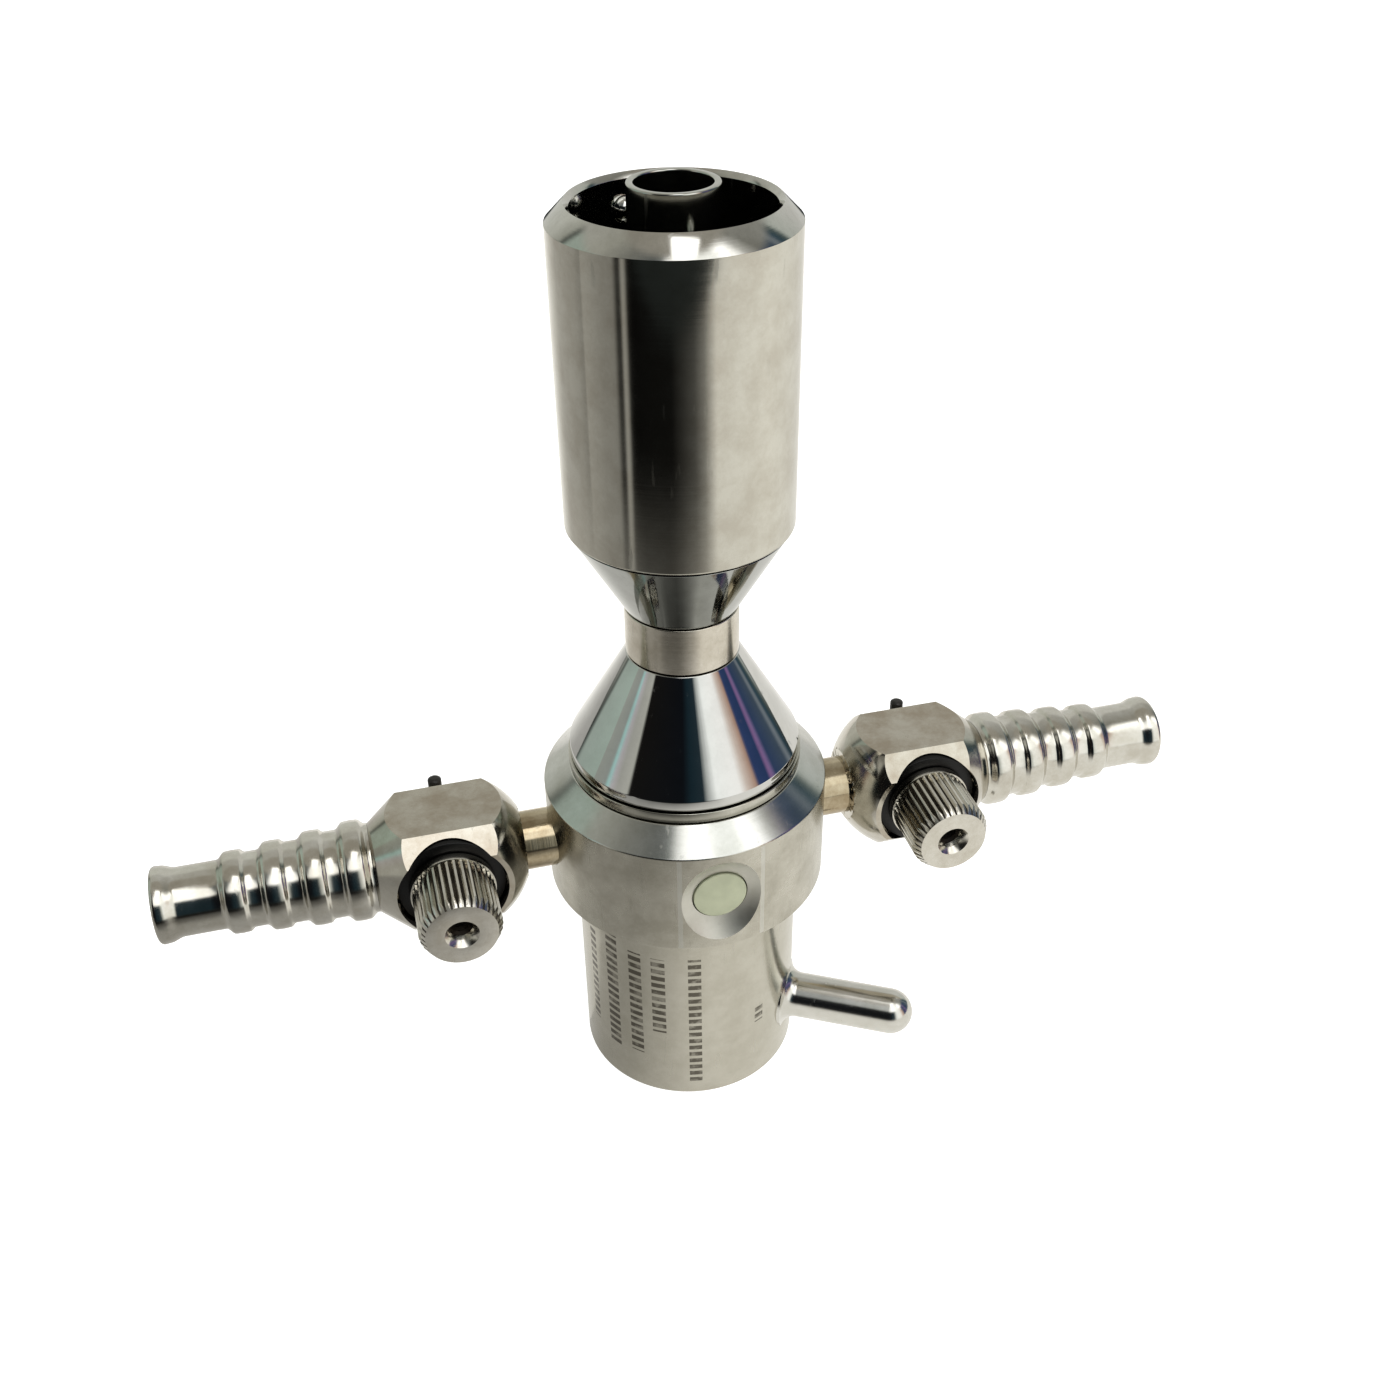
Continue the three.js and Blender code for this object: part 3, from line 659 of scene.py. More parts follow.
def tube(name, bore, radius, low, high, sides=96):
    """A plain square-ended tube or ring about Z."""
    return turn(name, [(bore, low), (radius, low), (radius, high), (bore, high)], sides)


neck = tube("neck_sleeve_turned", TUBE_FIT, NECK_RADIUS, NECK_BOTTOM, NECK_TOP, sides=FINE_SIDES)
soften(neck, 0.07)
dress(neck, neck_finish, "neck_steel", "coupling", "neck_sleeve")

# ---- cup -----------------------------------------------------------------------------------
# The cup is a polished cone pressed into a satin sleeve. The sleeve was linished round, and
# its rim is chamfered; two steel balls stand proud inside it.

CUP_BASE_BOTTOM, CUP_FOOT, PILOT_TOP = 45.1, 51.8, 53.95
CUP_FOOT_RADIUS, CUP_RADIUS, CUP_BORE = 8.25, 8.47, 6.8
SLEEVE_BOTTOM, CUP_TOP = 51.95, 75.05
RIM_WIDTH, RIM_HEIGHT, RIM_LEAD = 1.3, 1.3, 0.37
BALL_RADIUS, BALL_CENTRE, BALL_HEIGHT, BALL_DEGREES = 0.9, 6.75, 72.65, (120, 300)
SEAT_ROOM, SEAT_DEPTH = 0.03, 0.05

cup_base_finish = steel(
    "cup_base_smoked_polish",
    bright=(0.44, 0.45, 0.43),
    dull=(0.38, 0.385, 0.365),
    sheen=0.06,
    spread=0.03,
    lines=2200,
    relief=0.0006,
)
cup_base = turn(
    "cup_base_polished",
    [
        (TUBE_FIT, CUP_BASE_BOTTOM),
        (NECK_RADIUS, CUP_BASE_BOTTOM),
        (CUP_FOOT_RADIUS, CUP_FOOT),
        (CUP_BORE - SEAM, CUP_FOOT),
        (CUP_BORE - SEAM, PILOT_TOP),
        (TUBE_FIT, PILOT_TOP),
    ],
    sides=192,
)
soften(cup_base, 0.06)
dress(cup_base, cup_base_finish, "polished_steel", "coupling", "cup_base")

sleeve_finish = steel(
    "cup_linished_steel",
    bright=(0.64, 0.625, 0.56),
    dull=(0.545, 0.52, 0.455),
    sheen=0.10,
    spread=0.045,
    lines=3600,
    relief=0.0014,
    drawn=0.35,
)
rim_finish = steel(
    "cup_rim_cut",
    bright=(0.64, 0.63, 0.59),
    dull=(0.54, 0.53, 0.49),
    sheen=0.09,
    spread=0.03,
    lines=6000,
    relief=0.0016,
    drawn=0.2,
)
sleeve_foot = CUP_RADIUS - CUP_FOOT_RADIUS
cup_sleeve = turn(
    "cup_sleeve_linished",
    [
        (CUP_BORE, SLEEVE_BOTTOM),
        *arc(CUP_FOOT_RADIUS, SLEEVE_BOTTOM + sleeve_foot, sleeve_foot, -90, 0, 5),
        (CUP_RADIUS, CUP_TOP - RIM_HEIGHT),
        (CUP_RADIUS - RIM_WIDTH, CUP_TOP),
        (CUP_BORE + RIM_LEAD, CUP_TOP),
        (CUP_BORE, CUP_TOP - RIM_LEAD),
    ],
    sides=192,
)
for heading in BALL_DEGREES:
    seat_end = BALL_CENTRE + BALL_RADIUS + SEAT_DEPTH
    seat = rod("ball_seat", BALL_RADIUS + SEAT_ROOM, CUP_BORE - CUTTER_PAST, seat_end, sides=48)
    lay(seat, (0, 90), heading, (0, 0, BALL_HEIGHT))
    combine(cup_sleeve, seat)
soften(cup_sleeve, 0.05)
dress(cup_sleeve, sleeve_finish, "satin_steel", "coupling", "cup_sleeve")
cup_sleeve.data.materials.append(rim_finish)
for face in cup_sleeve.data.polygons:
    middle = hypot(face.center.x, face.center.y)
    if face.center.z > (CUP_TOP - RIM_HEIGHT) * MM and middle > CUP_BORE * MM:
        face.material_index = 1
    elif middle < (CUP_BORE + 0.02) * MM:
        face.material_index = 1


def twin_of(piece, name):
    """A copy of a piece with its own mesh."""
    twin = piece.copy()
    twin.data = piece.data.copy()
    twin.name = name
    twin.data.name = name
    bpy.context.collection.objects.link(twin)
    return twin


ball = turn("detent_ball_rear_bearing", arc(0, BALL_CENTRE, BALL_RADIUS, -90, 90, 20), sides=40)
soften(ball, 0)
ball_twin = twin_of(ball, "detent_ball_front_bearing")
for detent, heading, ball_node in zip(
    (ball, ball_twin), BALL_DEGREES, ("detent_ball_rear", "detent_ball_front")
):
    lay(detent, (0, 90), heading, (0, 0, BALL_HEIGHT))
    dress(detent, mirror_finish, "spring_steel", "coupling", ball_node)

# ---- inner tube ----------------------------------------------------------------------------
# The drawn tube that guides the scope, brazed into the coupling and broken at both ends.

TUBE_RADIUS, TUBE_BORE, TUBE_BOTTOM, TUBE_TOP = 3.1, 2.6, 33.65, 76.15

tube_finish = steel(
    "scope_tube_drawn",
    bright=(0.58, 0.58, 0.54),
    dull=(0.50, 0.50, 0.46),
    sheen=0.12,
    spread=0.05,
    lines=3000,
    relief=0.0015,
)
inner_tube = tube("scope_tube", TUBE_BORE, TUBE_RADIUS, TUBE_BOTTOM, TUBE_TOP)
soften(inner_tube, 0.12)
dress(inner_tube, tube_finish, "polished_steel", "coupling", "inner_tube")

# ---- stems ---------------------------------------------------------------------------------
# Short drawn tubes brazed between collar and stopcock, yellowed by the brazing heat.

STEM_END, FLOW_RADIUS = 14.95, 1.3
SIDES = (("right", BRANCH_DEGREES), ("left", BRANCH_DEGREES + 180))

stem = tube("stem_brazed_right", FLOW_RADIUS, STEM_RADIUS, STEM_START, STEM_END)
soften(stem, 0.04)
stem_twin = twin_of(stem, "stem_brazed_left")
for piece, (side, heading) in zip((stem, stem_twin), SIDES):
    stem_finish = steel(
        "stem_brazed_" + side,
        bright=(0.56, 0.49, 0.36),
        dull=(0.36, 0.29, 0.19),
        sheen=0.11,
        spread=0.05,
        lines=5000,
        relief=0.003,
        centre=BRANCH_PLACE,
        turned=(0, 90, heading),
    )
    lay(piece, (0, 90), heading, BRANCH_PLACE)
    dress(piece, stem_finish, "warm_steel", "base", "stem_" + side)

# ---- valve bodies --------------------------------------------------------------------------
# Each body is square bar with its corners milled off, turned to a ball behind and to a cone in
# front, then bored for the plug and counterbored for the black washer.

VALVE_HALF, FLAT_HALF = 4.75, 3.0
VALVE_MOUTH, PLUG_REACH, CONE_START, CONE_END = 13.85, 20.016, 23.316, 25.816
BULB_RADIUS, MOUTH_RADIUS, CORNER_RADIUS, BARB_ROOT = 6.5, 3.0, 5.62, 3.6
RECESS_RADIUS, RECESS_FLOOR, PLUG_HOLE = 4.38, 2.75, 2.65
BARB_SPIGOT_RADIUS, BARB_SPIGOT_LENGTH = 2.15, 2.0
PIN_BACK, STOP_PIN_RADIUS, STOP_PIN_TOP, STOP_PIN_ROOM = 3.8, 0.55, 4.98, 0.04
TAIL_HOLE, SPIGOT_ROOM, SPIGOT_END_ROOM, LEAST_FLAT = 2.2, 0.03, 0.05, 0.6


def mirrored(piece, name):
    """A copy of a piece with its own mesh, reflected across the middle of the adaptor."""
    twin = twin_of(piece, name)
    bpy.ops.object.select_all(action="DESELECT")
    twin.select_set(True)
    bpy.context.view_layer.objects.active = twin
    twin.scale = (-1, 1, 1)
    bpy.ops.object.transform_apply(location=False, rotation=False, scale=True)
    bpy.ops.object.mode_set(mode="EDIT")
    bpy.ops.mesh.select_all(action="SELECT")
    bpy.ops.mesh.normals_make_consistent(inside=False)
    bpy.ops.object.mode_set(mode="OBJECT")
    return twin


bar_length = CONE_END - VALVE_MOUTH
bpy.ops.object.select_all(action="DESELECT")
bpy.ops.mesh.primitive_cube_add(
    size=1,
    location=((VALVE_MOUTH + bar_length / 2) * MM, 0, 0),
    scale=(bar_length * MM, 2 * VALVE_HALF * MM, 2 * VALVE_HALF * MM),
)
valve = bpy.context.object
valve.name = "valve_body_milled_right"
bpy.ops.object.transform_apply(location=True, rotation=True, scale=True)
bpy.ops.object.mode_set(mode="EDIT")
bpy.ops.mesh.select_all(action="DESELECT")
bpy.ops.mesh.select_mode(type="EDGE")
work = bmesh.from_edit_mesh(valve.data)
for edge in work.edges:
    edge.select = abs(edge.verts[0].co.x - edge.verts[1].co.x) > bar_length * MM / 2
work.select_flush_mode()
bmesh.update_edit_mesh(valve.data)
bpy.ops.mesh.bevel(offset=(VALVE_HALF - FLAT_HALF) * MM, segments=1, affect="EDGES")
bpy.ops.object.mode_set(mode="OBJECT")

mouth_angle = degrees(asin(MOUTH_RADIUS / BULB_RADIUS))
bulb_centre = VALVE_MOUTH + sqrt(BULB_RADIUS**2 - MOUTH_RADIUS**2)
envelope = turn(
    "envelope",
    [
        (0, VALVE_MOUTH),
        (MOUTH_RADIUS, VALVE_MOUTH),
        *arc(0, bulb_centre, BULB_RADIUS, mouth_angle - 90, 0, 28),
        (BULB_RADIUS, CONE_START - (BULB_RADIUS - CORNER_RADIUS)),
        (CORNER_RADIUS, CONE_START),
        (BARB_ROOT, CONE_END),
        (0, CONE_END),
    ],
    sides=160,
)
lay(envelope, (0, 90), 0)
combine(valve, envelope, "INTERSECT")
counterbore = turn(
    "counterbore",
    [
        (0, -VALVE_HALF - CUTTER_PAST),
        (TAIL_HOLE, -VALVE_HALF - CUTTER_PAST),
        (TAIL_HOLE, -VALVE_HALF),
        (PLUG_HOLE, RECESS_FLOOR - SEAM),
        (PLUG_HOLE, RECESS_FLOOR),
        (RECESS_RADIUS, RECESS_FLOOR),
        (RECESS_RADIUS, VALVE_HALF + CUTTER_PAST),
        (0, VALVE_HALF + CUTTER_PAST),
    ],
    sides=128,
)
lay(counterbore, (90, 0), 0, (PLUG_REACH, 0, 0))
combine(valve, counterbore)
spigot_floor = CONE_END - BARB_SPIGOT_LENGTH - SPIGOT_END_ROOM
waterway = turn(
    "waterway",
    [
        (0, VALVE_MOUTH - CUTTER_PAST),
        (STEM_RADIUS + FIT, VALVE_MOUTH - CUTTER_PAST),
        (STEM_RADIUS + FIT, STEM_END + FIT),
        (FLOW_RADIUS, STEM_END + FIT),
        (FLOW_RADIUS, spigot_floor),
        (BARB_SPIGOT_RADIUS + SPIGOT_ROOM, spigot_floor),
        (BARB_SPIGOT_RADIUS + SPIGOT_ROOM, CONE_END + CUTTER_PAST),
        (0, CONE_END + CUTTER_PAST),
    ],
    sides=64,
)
lay(waterway, (0, 90), 0)
combine(valve, waterway)
pin_hole = rod("pin_hole", STOP_PIN_RADIUS + STOP_PIN_ROOM, 0, VALVE_HALF + CUTTER_PAST, sides=32)
lay(pin_hole, (0, 0), 0, (PLUG_REACH, PIN_BACK, 0))
combine(valve, pin_hole)
soften(valve, 0.08, sharpest=20)
bpy.ops.mesh.customdata_custom_splitnormals_clear()
for face in valve.data.polygons:
    if face.area > LEAST_FLAT * MM**2 and abs(face.normal.x) < 0.01:
        face.use_smooth = False

outward = Vector((cos(radians(BRANCH_DEGREES)), sin(radians(BRANCH_DEGREES)), 0))
valve_twin = mirrored(valve, "valve_body_milled_left")
for piece, side in ((valve, "right"), (valve_twin, "left")):
    lay(piece, (0, 0), BRANCH_DEGREES, BRANCH_PLACE)
    satin_finish = steel(
        "valve_body_satin_" + side,
        bright=(0.56, 0.53, 0.46),
        dull=(0.42, 0.37, 0.30),
        sheen=0.17,
        spread=0.07,
        lines=2600,
        relief=0.002,
        centre=BRANCH_PLACE,
        turned=(0, 90, BRANCH_DEGREES),
    )
    dress(piece, satin_finish, "valve_steel", "base", "valve_body_" + side)
    turned_finish = steel(
        "valve_body_turned_" + side,
        bright=(0.62, 0.60, 0.54),
        dull=(0.50, 0.47, 0.41),
        sheen=0.13,
        spread=0.05,
        lines=3200,
        relief=0.0016,
        centre=BRANCH_PLACE,
        turned=(0, 90, BRANCH_DEGREES),
    )
    piece.data.materials.append(turned_finish)
    for face in piece.data.polygons:
        if abs(face.normal.dot(outward)) > 0.04:
            face.material_index = 1

# ---- washers and stop pins -----------------------------------------------------------------
# A black washer lies in each counterbore behind the plug's head. The small dark pin in the top
# of each body reaches into the plug's groove.

WASHER_LOW, WASHER_HIGH, WASHER_OUTER, WASHER_INNER = 2.9, 3.9, 4.26, 2.75
STOP_PIN_BOTTOM, STOP_PIN_EDGE, STOP_PIN_CROWN = 1.6, 0.15, 0.3

washer_plastic = rubber("washer_black", (0.003, 0.003, 0.003), (0.007, 0.006, 0.006), 0.4)
pin_black = rubber("stop_pin_blackened", (0.02, 0.018, 0.016), (0.06, 0.055, 0.05), 0.35)
rearward = Vector((-outward.y, outward.x, 0))
washer = tube("washer_right", WASHER_INNER, WASHER_OUTER, WASHER_LOW, WASHER_HIGH)
soften(washer, 0.1)
stop_pin = turn(
    "stop_pin_domed_right",
    [
        (0, STOP_PIN_BOTTOM),
        (STOP_PIN_RADIUS, STOP_PIN_BOTTOM),
        (STOP_PIN_RADIUS, STOP_PIN_TOP - STOP_PIN_EDGE),
        (STOP_PIN_CROWN, STOP_PIN_TOP),
        (0, STOP_PIN_TOP),
    ],
    sides=48,
)
soften(stop_pin, 0.06)
for ring, pin, side, reach in (
    (washer, stop_pin, "right", PLUG_REACH),
    (twin_of(washer, "washer_left"), twin_of(stop_pin, "stop_pin_domed_left"), "left", -PLUG_REACH),
):
    plug_place = outward * reach + Vector(BRANCH_PLACE)
    lay(ring, (90, 0), BRANCH_DEGREES, plug_place)
    dress(ring, washer_plastic, "washer_black", "base", "seal_washer_" + side)
    lay(pin, (0, 0), 0, plug_place + rearward * PIN_BACK)
    dress(pin, pin_black, "plug_steel", "base", "stop_pin_" + side)

# ---- hose barbs ----------------------------------------------------------------------------
# Turned and polished barbs of four rounded ribs, a plain barrel and a rolled lip. Each is
# pressed into its valve body.

RIB_COUNT, RIB_PITCH, RIB_CREST, RIB_STEP, RIB_DIP = 4, 3.07, 4.02, 0.25, 0.27
RIB_FOOT, RIB_RISE, RIB_FALL, RIB_VALLEY = 0.08, 0.22, 0.57, 0.8
BARB_START, BARREL_RADIUS, BARREL_LENGTH = CONE_END + SEAM, 2.74, 4.35
LIP_END_RADIUS, LIP_LENGTH, LIP_EDGE, LIP_RUN_IN = 3.08, 1.5, 0.35, 0.4
BARB_BORE, BORE_LEAD, RIB_CROWN = 1.6, 0.6, 0.03


def swell(first, last, steps):
    """A soft S from one outline point to the next."""
    points = []
    for step in range(1, steps + 1):
        share = step / steps
        eased = (1 - cos(pi * share)) / 2
        radius = first[0] + (last[0] - first[0]) * eased
        height = first[1] + (last[1] - first[1]) * share
        points.append((radius, height))
    return points


barb_outline = [
    (BARB_BORE, CONE_END - BARB_SPIGOT_LENGTH),
    (BARB_SPIGOT_RADIUS, CONE_END - BARB_SPIGOT_LENGTH),
    (BARB_SPIGOT_RADIUS, CONE_END + FIT),
    (BARB_ROOT, CONE_END + FIT),
]
for rib in range(RIB_COUNT):
    crest = RIB_CREST - rib * RIB_STEP
    foot = BARB_START + rib * RIB_PITCH
    if rib == 0:
        barb_outline.append((BARB_ROOT, foot + FIT))
    else:
        barb_outline.append((crest - RIB_DIP, foot + RIB_FOOT * RIB_PITCH))
    rise = (crest, foot + RIB_RISE * RIB_PITCH)
    barb_outline += swell(barb_outline[-1], rise, 6)
    barb_outline.append((crest + RIB_CROWN, foot + (RIB_RISE + RIB_FALL) / 2 * RIB_PITCH))
    fall = (crest, foot + RIB_FALL * RIB_PITCH)
    barb_outline.append(fall)
    barb_outline += swell(fall, (crest - RIB_STEP - RIB_DIP, foot + RIB_VALLEY * RIB_PITCH), 7)
barrel_start = BARB_START + RIB_COUNT * RIB_PITCH
barb_end = barrel_start + BARREL_LENGTH
barb_outline.append((BARREL_RADIUS, barrel_start))
barb_outline.append((BARREL_RADIUS, barb_end - LIP_LENGTH - LIP_RUN_IN))
barb_outline += swell(barb_outline[-1], (LIP_END_RADIUS - RIB_CROWN, barb_end - 2 * LIP_EDGE), 7)
barb_outline += arc(LIP_END_RADIUS - LIP_EDGE, barb_end - LIP_EDGE, LIP_EDGE, 0, 90, 6)
barb_outline += [(BARB_BORE + BORE_LEAD, barb_end), (BARB_BORE, barb_end - BORE_LEAD)]
barb = turn("hose_barb_turned_right", barb_outline, sides=128)
soften(barb, 0)
barb_twin = twin_of(barb, "hose_barb_turned_left")
for piece, (side, heading) in zip((barb, barb_twin), SIDES):
    barb_finish = steel(
        "barb_polish_" + side,
        bright=(0.69, 0.675, 0.62),
        dull=(0.57, 0.545, 0.48),
        sheen=0.15,
        spread=0.05,
        lines=2200,
        relief=0.0014,
        centre=BRANCH_PLACE,
        turned=(0, 90, heading),
    )
    lay(piece, (0, 90), heading, BRANCH_PLACE)
    dress(piece, barb_finish, "polished_steel", "base", "hose_barb_" + side)

# ---- valve plugs ---------------------------------------------------------------------------
# Each taper plug has a knurled head with a faced front and a tapped hole, where a lever would
# be screwed on. The flutes run out on the head's chamfer.

PLUG_TAIL, PLUG_FRONT, PLUG_SEAT = 2.1, 2.55, 2.6
GROOVE_BACK, GROOVE_FRONT, GROOVE_DEPTH = -4.45, -3.15, 0.7
HEAD_BACK, TEETH_START, PLUG_FACE = 4.05, 4.75, 9.7
HEAD_RADIUS, RING_RADIUS, FACE_RADIUS, HEAD_CHAMFER = 3.25, 3.37, 2.8, 0.8
TEETH, FLUTE_DEPTH, TOOTH_STEPS = 36, 0.32, 6
TAPPED_RADIUS, TAPPED_DEPTH, THREAD_PITCH, THREAD_DEPTH = 1.13, 4.2, 0.5, 0.2
LEAD_WIDTH, LEAD_DEPTH, UNSHADED_DEPTH, DRILL_POINT = 0.2, 0.25, 1.2, 0.4


def taper_at(along):
    """The plug's radius where it turns in the body."""
    return PLUG_TAIL + (PLUG_FRONT - PLUG_TAIL) * (along + VALVE_HALF) / (PLUG_SEAT + VALVE_HALF)


tail_end = -VALVE_HALF + SEAM
plug_outline = [
    (0, tail_end),
    (taper_at(tail_end), tail_end),
    (taper_at(GROOVE_BACK), GROOVE_BACK),
    (taper_at(GROOVE_BACK) - GROOVE_DEPTH, GROOVE_BACK),
    (taper_at(GROOVE_BACK) - GROOVE_DEPTH, GROOVE_FRONT),
    (taper_at(GROOVE_FRONT), GROOVE_FRONT),
    (PLUG_FRONT, PLUG_SEAT),
    (PLUG_FRONT, HEAD_BACK),
    (RING_RADIUS, HEAD_BACK),
    (RING_RADIUS, TEETH_START),
    (HEAD_RADIUS, TEETH_START),
    (HEAD_RADIUS, PLUG_FACE - HEAD_CHAMFER),
    (FACE_RADIUS, PLUG_FACE),
    (TAPPED_RADIUS + LEAD_WIDTH, PLUG_FACE),
    (TAPPED_RADIUS, PLUG_FACE - LEAD_DEPTH),
]
hole_floor = PLUG_FACE - TAPPED_DEPTH
thread = PLUG_FACE - LEAD_DEPTH - THREAD_PITCH / 2
while thread > hole_floor + THREAD_PITCH:
    plug_outline.append((TAPPED_RADIUS - THREAD_DEPTH, thread))
    plug_outline.append((TAPPED_RADIUS, thread - THREAD_PITCH / 2))
    thread -= THREAD_PITCH
plug_outline += [(TAPPED_RADIUS - THREAD_DEPTH, hole_floor), (0, hole_floor - DRILL_POINT)]
plug = turn("valve_plug_knurled_right", plug_outline, sides=TEETH * TOOTH_STEPS)


def sink(head, step, depth):
    """Presses in the tooth edges that lie one number of steps from the middle of a groove."""
    bpy.ops.object.select_all(action="DESELECT")
    head.select_set(True)
    bpy.context.view_layer.objects.active = head
    bpy.ops.object.mode_set(mode="EDIT")
    work = bmesh.from_edit_mesh(head.data)
    shrunk = (HEAD_RADIUS - depth) / HEAD_RADIUS
    run_out = HEAD_CHAMFER * (HEAD_RADIUS - depth - FACE_RADIUS) / (HEAD_RADIUS - FACE_RADIUS)
    for front in (False, True):
        for corner in work.verts:
            position = degrees(atan2(corner.co.y, corner.co.x)) * TEETH * TOOTH_STEPS / 360
            offset = (position + TOOTH_STEPS / 2) % TOOTH_STEPS - TOOTH_STEPS / 2
            on_tooth = abs(hypot(corner.co.x, corner.co.y) - HEAD_RADIUS * MM) < 0.01 * MM
            at_front = corner.co.z > (PLUG_FACE - HEAD_CHAMFER - 0.1) * MM
            corner.select = on_tooth and at_front == front and abs(abs(offset) - step) < 0.2
        work.select_flush_mode()
        bmesh.update_edit_mesh(head.data)
        bpy.ops.transform.resize(value=(shrunk, shrunk, 1), center_override=(0, 0, 0))
        if front:
            bpy.ops.transform.translate(value=(0, 0, (HEAD_CHAMFER - run_out) * MM))
        work = bmesh.from_edit_mesh(head.data)
    bpy.ops.object.mode_set(mode="OBJECT")


sink(plug, 0, FLUTE_DEPTH)
sink(plug, 1, 0.7 * FLUTE_DEPTH)
plug_waterway = rod("plug_waterway", FLOW_RADIUS, -VALVE_HALF, VALVE_HALF, sides=48)
lay(plug_waterway, (0, 90), 0)
combine(plug, plug_waterway)
soften(plug, 0.03)

plug_twin = twin_of(plug, "valve_plug_knurled_left")
# Painted shade: a dark matte material on the flute bottoms and deep in the tapped hole, below the first
# threads.
painted_shade = rubber("plug_groove_painted_shade", (0.035, 0.028, 0.02), (0.12, 0.10, 0.075), 0.45)
for head, side, reach in ((plug, "right", PLUG_REACH), (plug_twin, "left", -PLUG_REACH)):
    place = outward * reach + Vector(BRANCH_PLACE)
    plug_finish = steel(
        "plug_knurled_steel_" + side,
        bright=(0.74, 0.72, 0.66),
        dull=(0.60, 0.57, 0.50),
        sheen=0.2,
        spread=0.05,
        lines=6500,
        relief=0.004,
        centre=place,
        turned=(90, 0, BRANCH_DEGREES),
    )
    # Faces that take the painted shade: the sunk flute bottoms and the tapped hole's deeper threads.
    shaded_faces = []
    for face in head.data.polygons:
        corners = [head.data.vertices[corner].co for corner in face.vertices]
        out = [hypot(corner.x, corner.y) / MM for corner in corners]
        along = face.center.z / MM
        sunk = max(out) < HEAD_RADIUS - 0.6 * FLUTE_DEPTH and min(out) > FACE_RADIUS
        tapped = max(out) < TAPPED_RADIUS + 0.01 and along < PLUG_FACE - UNSHADED_DEPTH
        shaded_faces.append((sunk and along > TEETH_START) or tapped)
    lay(head, (90, 0), BRANCH_DEGREES, place)
    dress(head, plug_finish, "plug_steel", "plug_" + side, "valve_plug_" + side)
    head.data.materials.append(painted_shade)
    for face, shaded in zip(head.data.polygons, shaded_faces):
        face.material_index = int(shaded)

# ---- floor and backdrop --------------------------------------------------------------------
# A plain pale table with a soft shadow, and a pale room round it.

FLOOR_SIZE, ROOM_RADIUS = 6.0, 2.9


def glow(piece, material, tree, shader, colour):
    """Makes a piece of the stage shine evenly in one colour, without lighting or shading it."""
    tree.nodes.remove(shader)
    lamp = node(tree, "Emission", {"Color": colour})
    tree.links.new(lamp, tree.nodes["Material Output"].inputs["Surface"])
    piece.data.materials.append(material)
    piece.visible_diffuse = False
    piece.visible_shadow = False


bpy.ops.object.select_all(action="DESELECT")
bpy.ops.mesh.primitive_plane_add(size=FLOOR_SIZE, location=(0, 0, 0))
floor = bpy.context.object
floor.name = "table_top"
pale, _, pale_shader = blank("table_pale")
pale_shader.inputs["Base Color"].default_value = (0.8, 0.8, 0.8, 1)
pale_shader.inputs["Roughness"].default_value = 0.9
pale_shader.inputs["Specular IOR Level"].default_value = 0.0
pale_shader.inputs["Emission Color"].default_value = (1, 1, 1, 1)
pale_shader.inputs["Emission Strength"].default_value = 0.72
floor.data.materials.append(pale)
floor.visible_glossy = False

bpy.ops.mesh.primitive_uv_sphere_add(segments=64, ring_count=32, radius=ROOM_RADIUS)
room = bpy.context.object
room.name = "room"
room.visible_glossy = False
glow(room, *blank("room_pale"), (1, 1, 1, 1))

# ---- what the steel reflects ---------------------------------------------------------------
# The table as the steel sees it: bright to the right and behind, shaded to the left, and dark
# in front where someone leans over it. The walls are a ring of tones round the table.

TABLE_REACH = 280
HORIZON, WALL_TOP, LAMP_START = (-8, -3), (35, 44), (61, 70)


def compass(tree, direction):
    """The bearing of a direction as a share of the full turn, from -180 to 180 degrees."""
    right, back, up = split(tree, direction)
    bearing = maths(tree, "ARCTAN2", back, right)
    return node(tree, "MapRange", {"Value": bearing, "From Min": -pi, "From Max": pi})


def bearings(stops):
    """Tones by compass bearing, in degrees from +X, as ramp positions."""
    return [((bearing_degrees + 180) / 360, colour) for bearing_degrees, colour in stops]


def warm(level):
    """A slightly warm grey of one level."""
    return (level, 0.985 * level, 0.94 * level)


bpy.ops.mesh.primitive_plane_add(size=1)
table_glow = bpy.context.object
table_glow.name = "table_glow"
table_glow.scale = (2 * TABLE_REACH * MM, 1.7 * TABLE_REACH * MM, 1)
table_glow.location = (0, 0.17 * TABLE_REACH * MM, -0.4 * MM)
bpy.ops.object.transform_apply(location=True, rotation=True, scale=True)
glow_material, tree, glow_shader = blank("table_glow")
where = node(tree, "TexCoord", {}, "Object")
share = compass(tree, where)
near_levels = (
    (-180, 0.46), (-150, 0.38), (-130, 0.42), (-108, 0.58), (-85, 0.74), (-70, 0.80), (-50, 0.82),
    (0, 0.84), (60, 0.82), (110, 0.92), (140, 0.74), (180, 0.62),
)
middle_levels = (
    (-180, 0.42), (-150, 0.34), (-136, 0.32), (-122, 0.20), (-100, 0.17), (-88, 0.24), (-72, 0.45),
    (-52, 0.80), (0, 0.84), (60, 0.82), (110, 0.92), (140, 0.62), (180, 0.52),
)
far_levels = (
    (-180, 0.42), (-160, 0.32), (-146, 0.28), (-142, 0.05), (-139, 0.05), (-137, 0.42), (-134.5, 0.34),
    (-132, 0.02), (-128, 0.008), (-95, 0.012), (-85, 0.05),
    (-75, 0.10), (-66, 0.26), (-55, 0.80), (0, 0.90), (60, 0.76), (110, 0.90), (140, 0.48), (171, 0.38),
    (180, 0.30),
)
near_tone, middle_tone, far_tone = [
    tone(tree, share, bearings([(at, warm(level)) for at, level in levels]))
    for levels in (near_levels, middle_levels, far_levels)
]
away = node(tree, "VectorMath", {0: where}, "Value", operation="LENGTH")
table_tone = near_tone
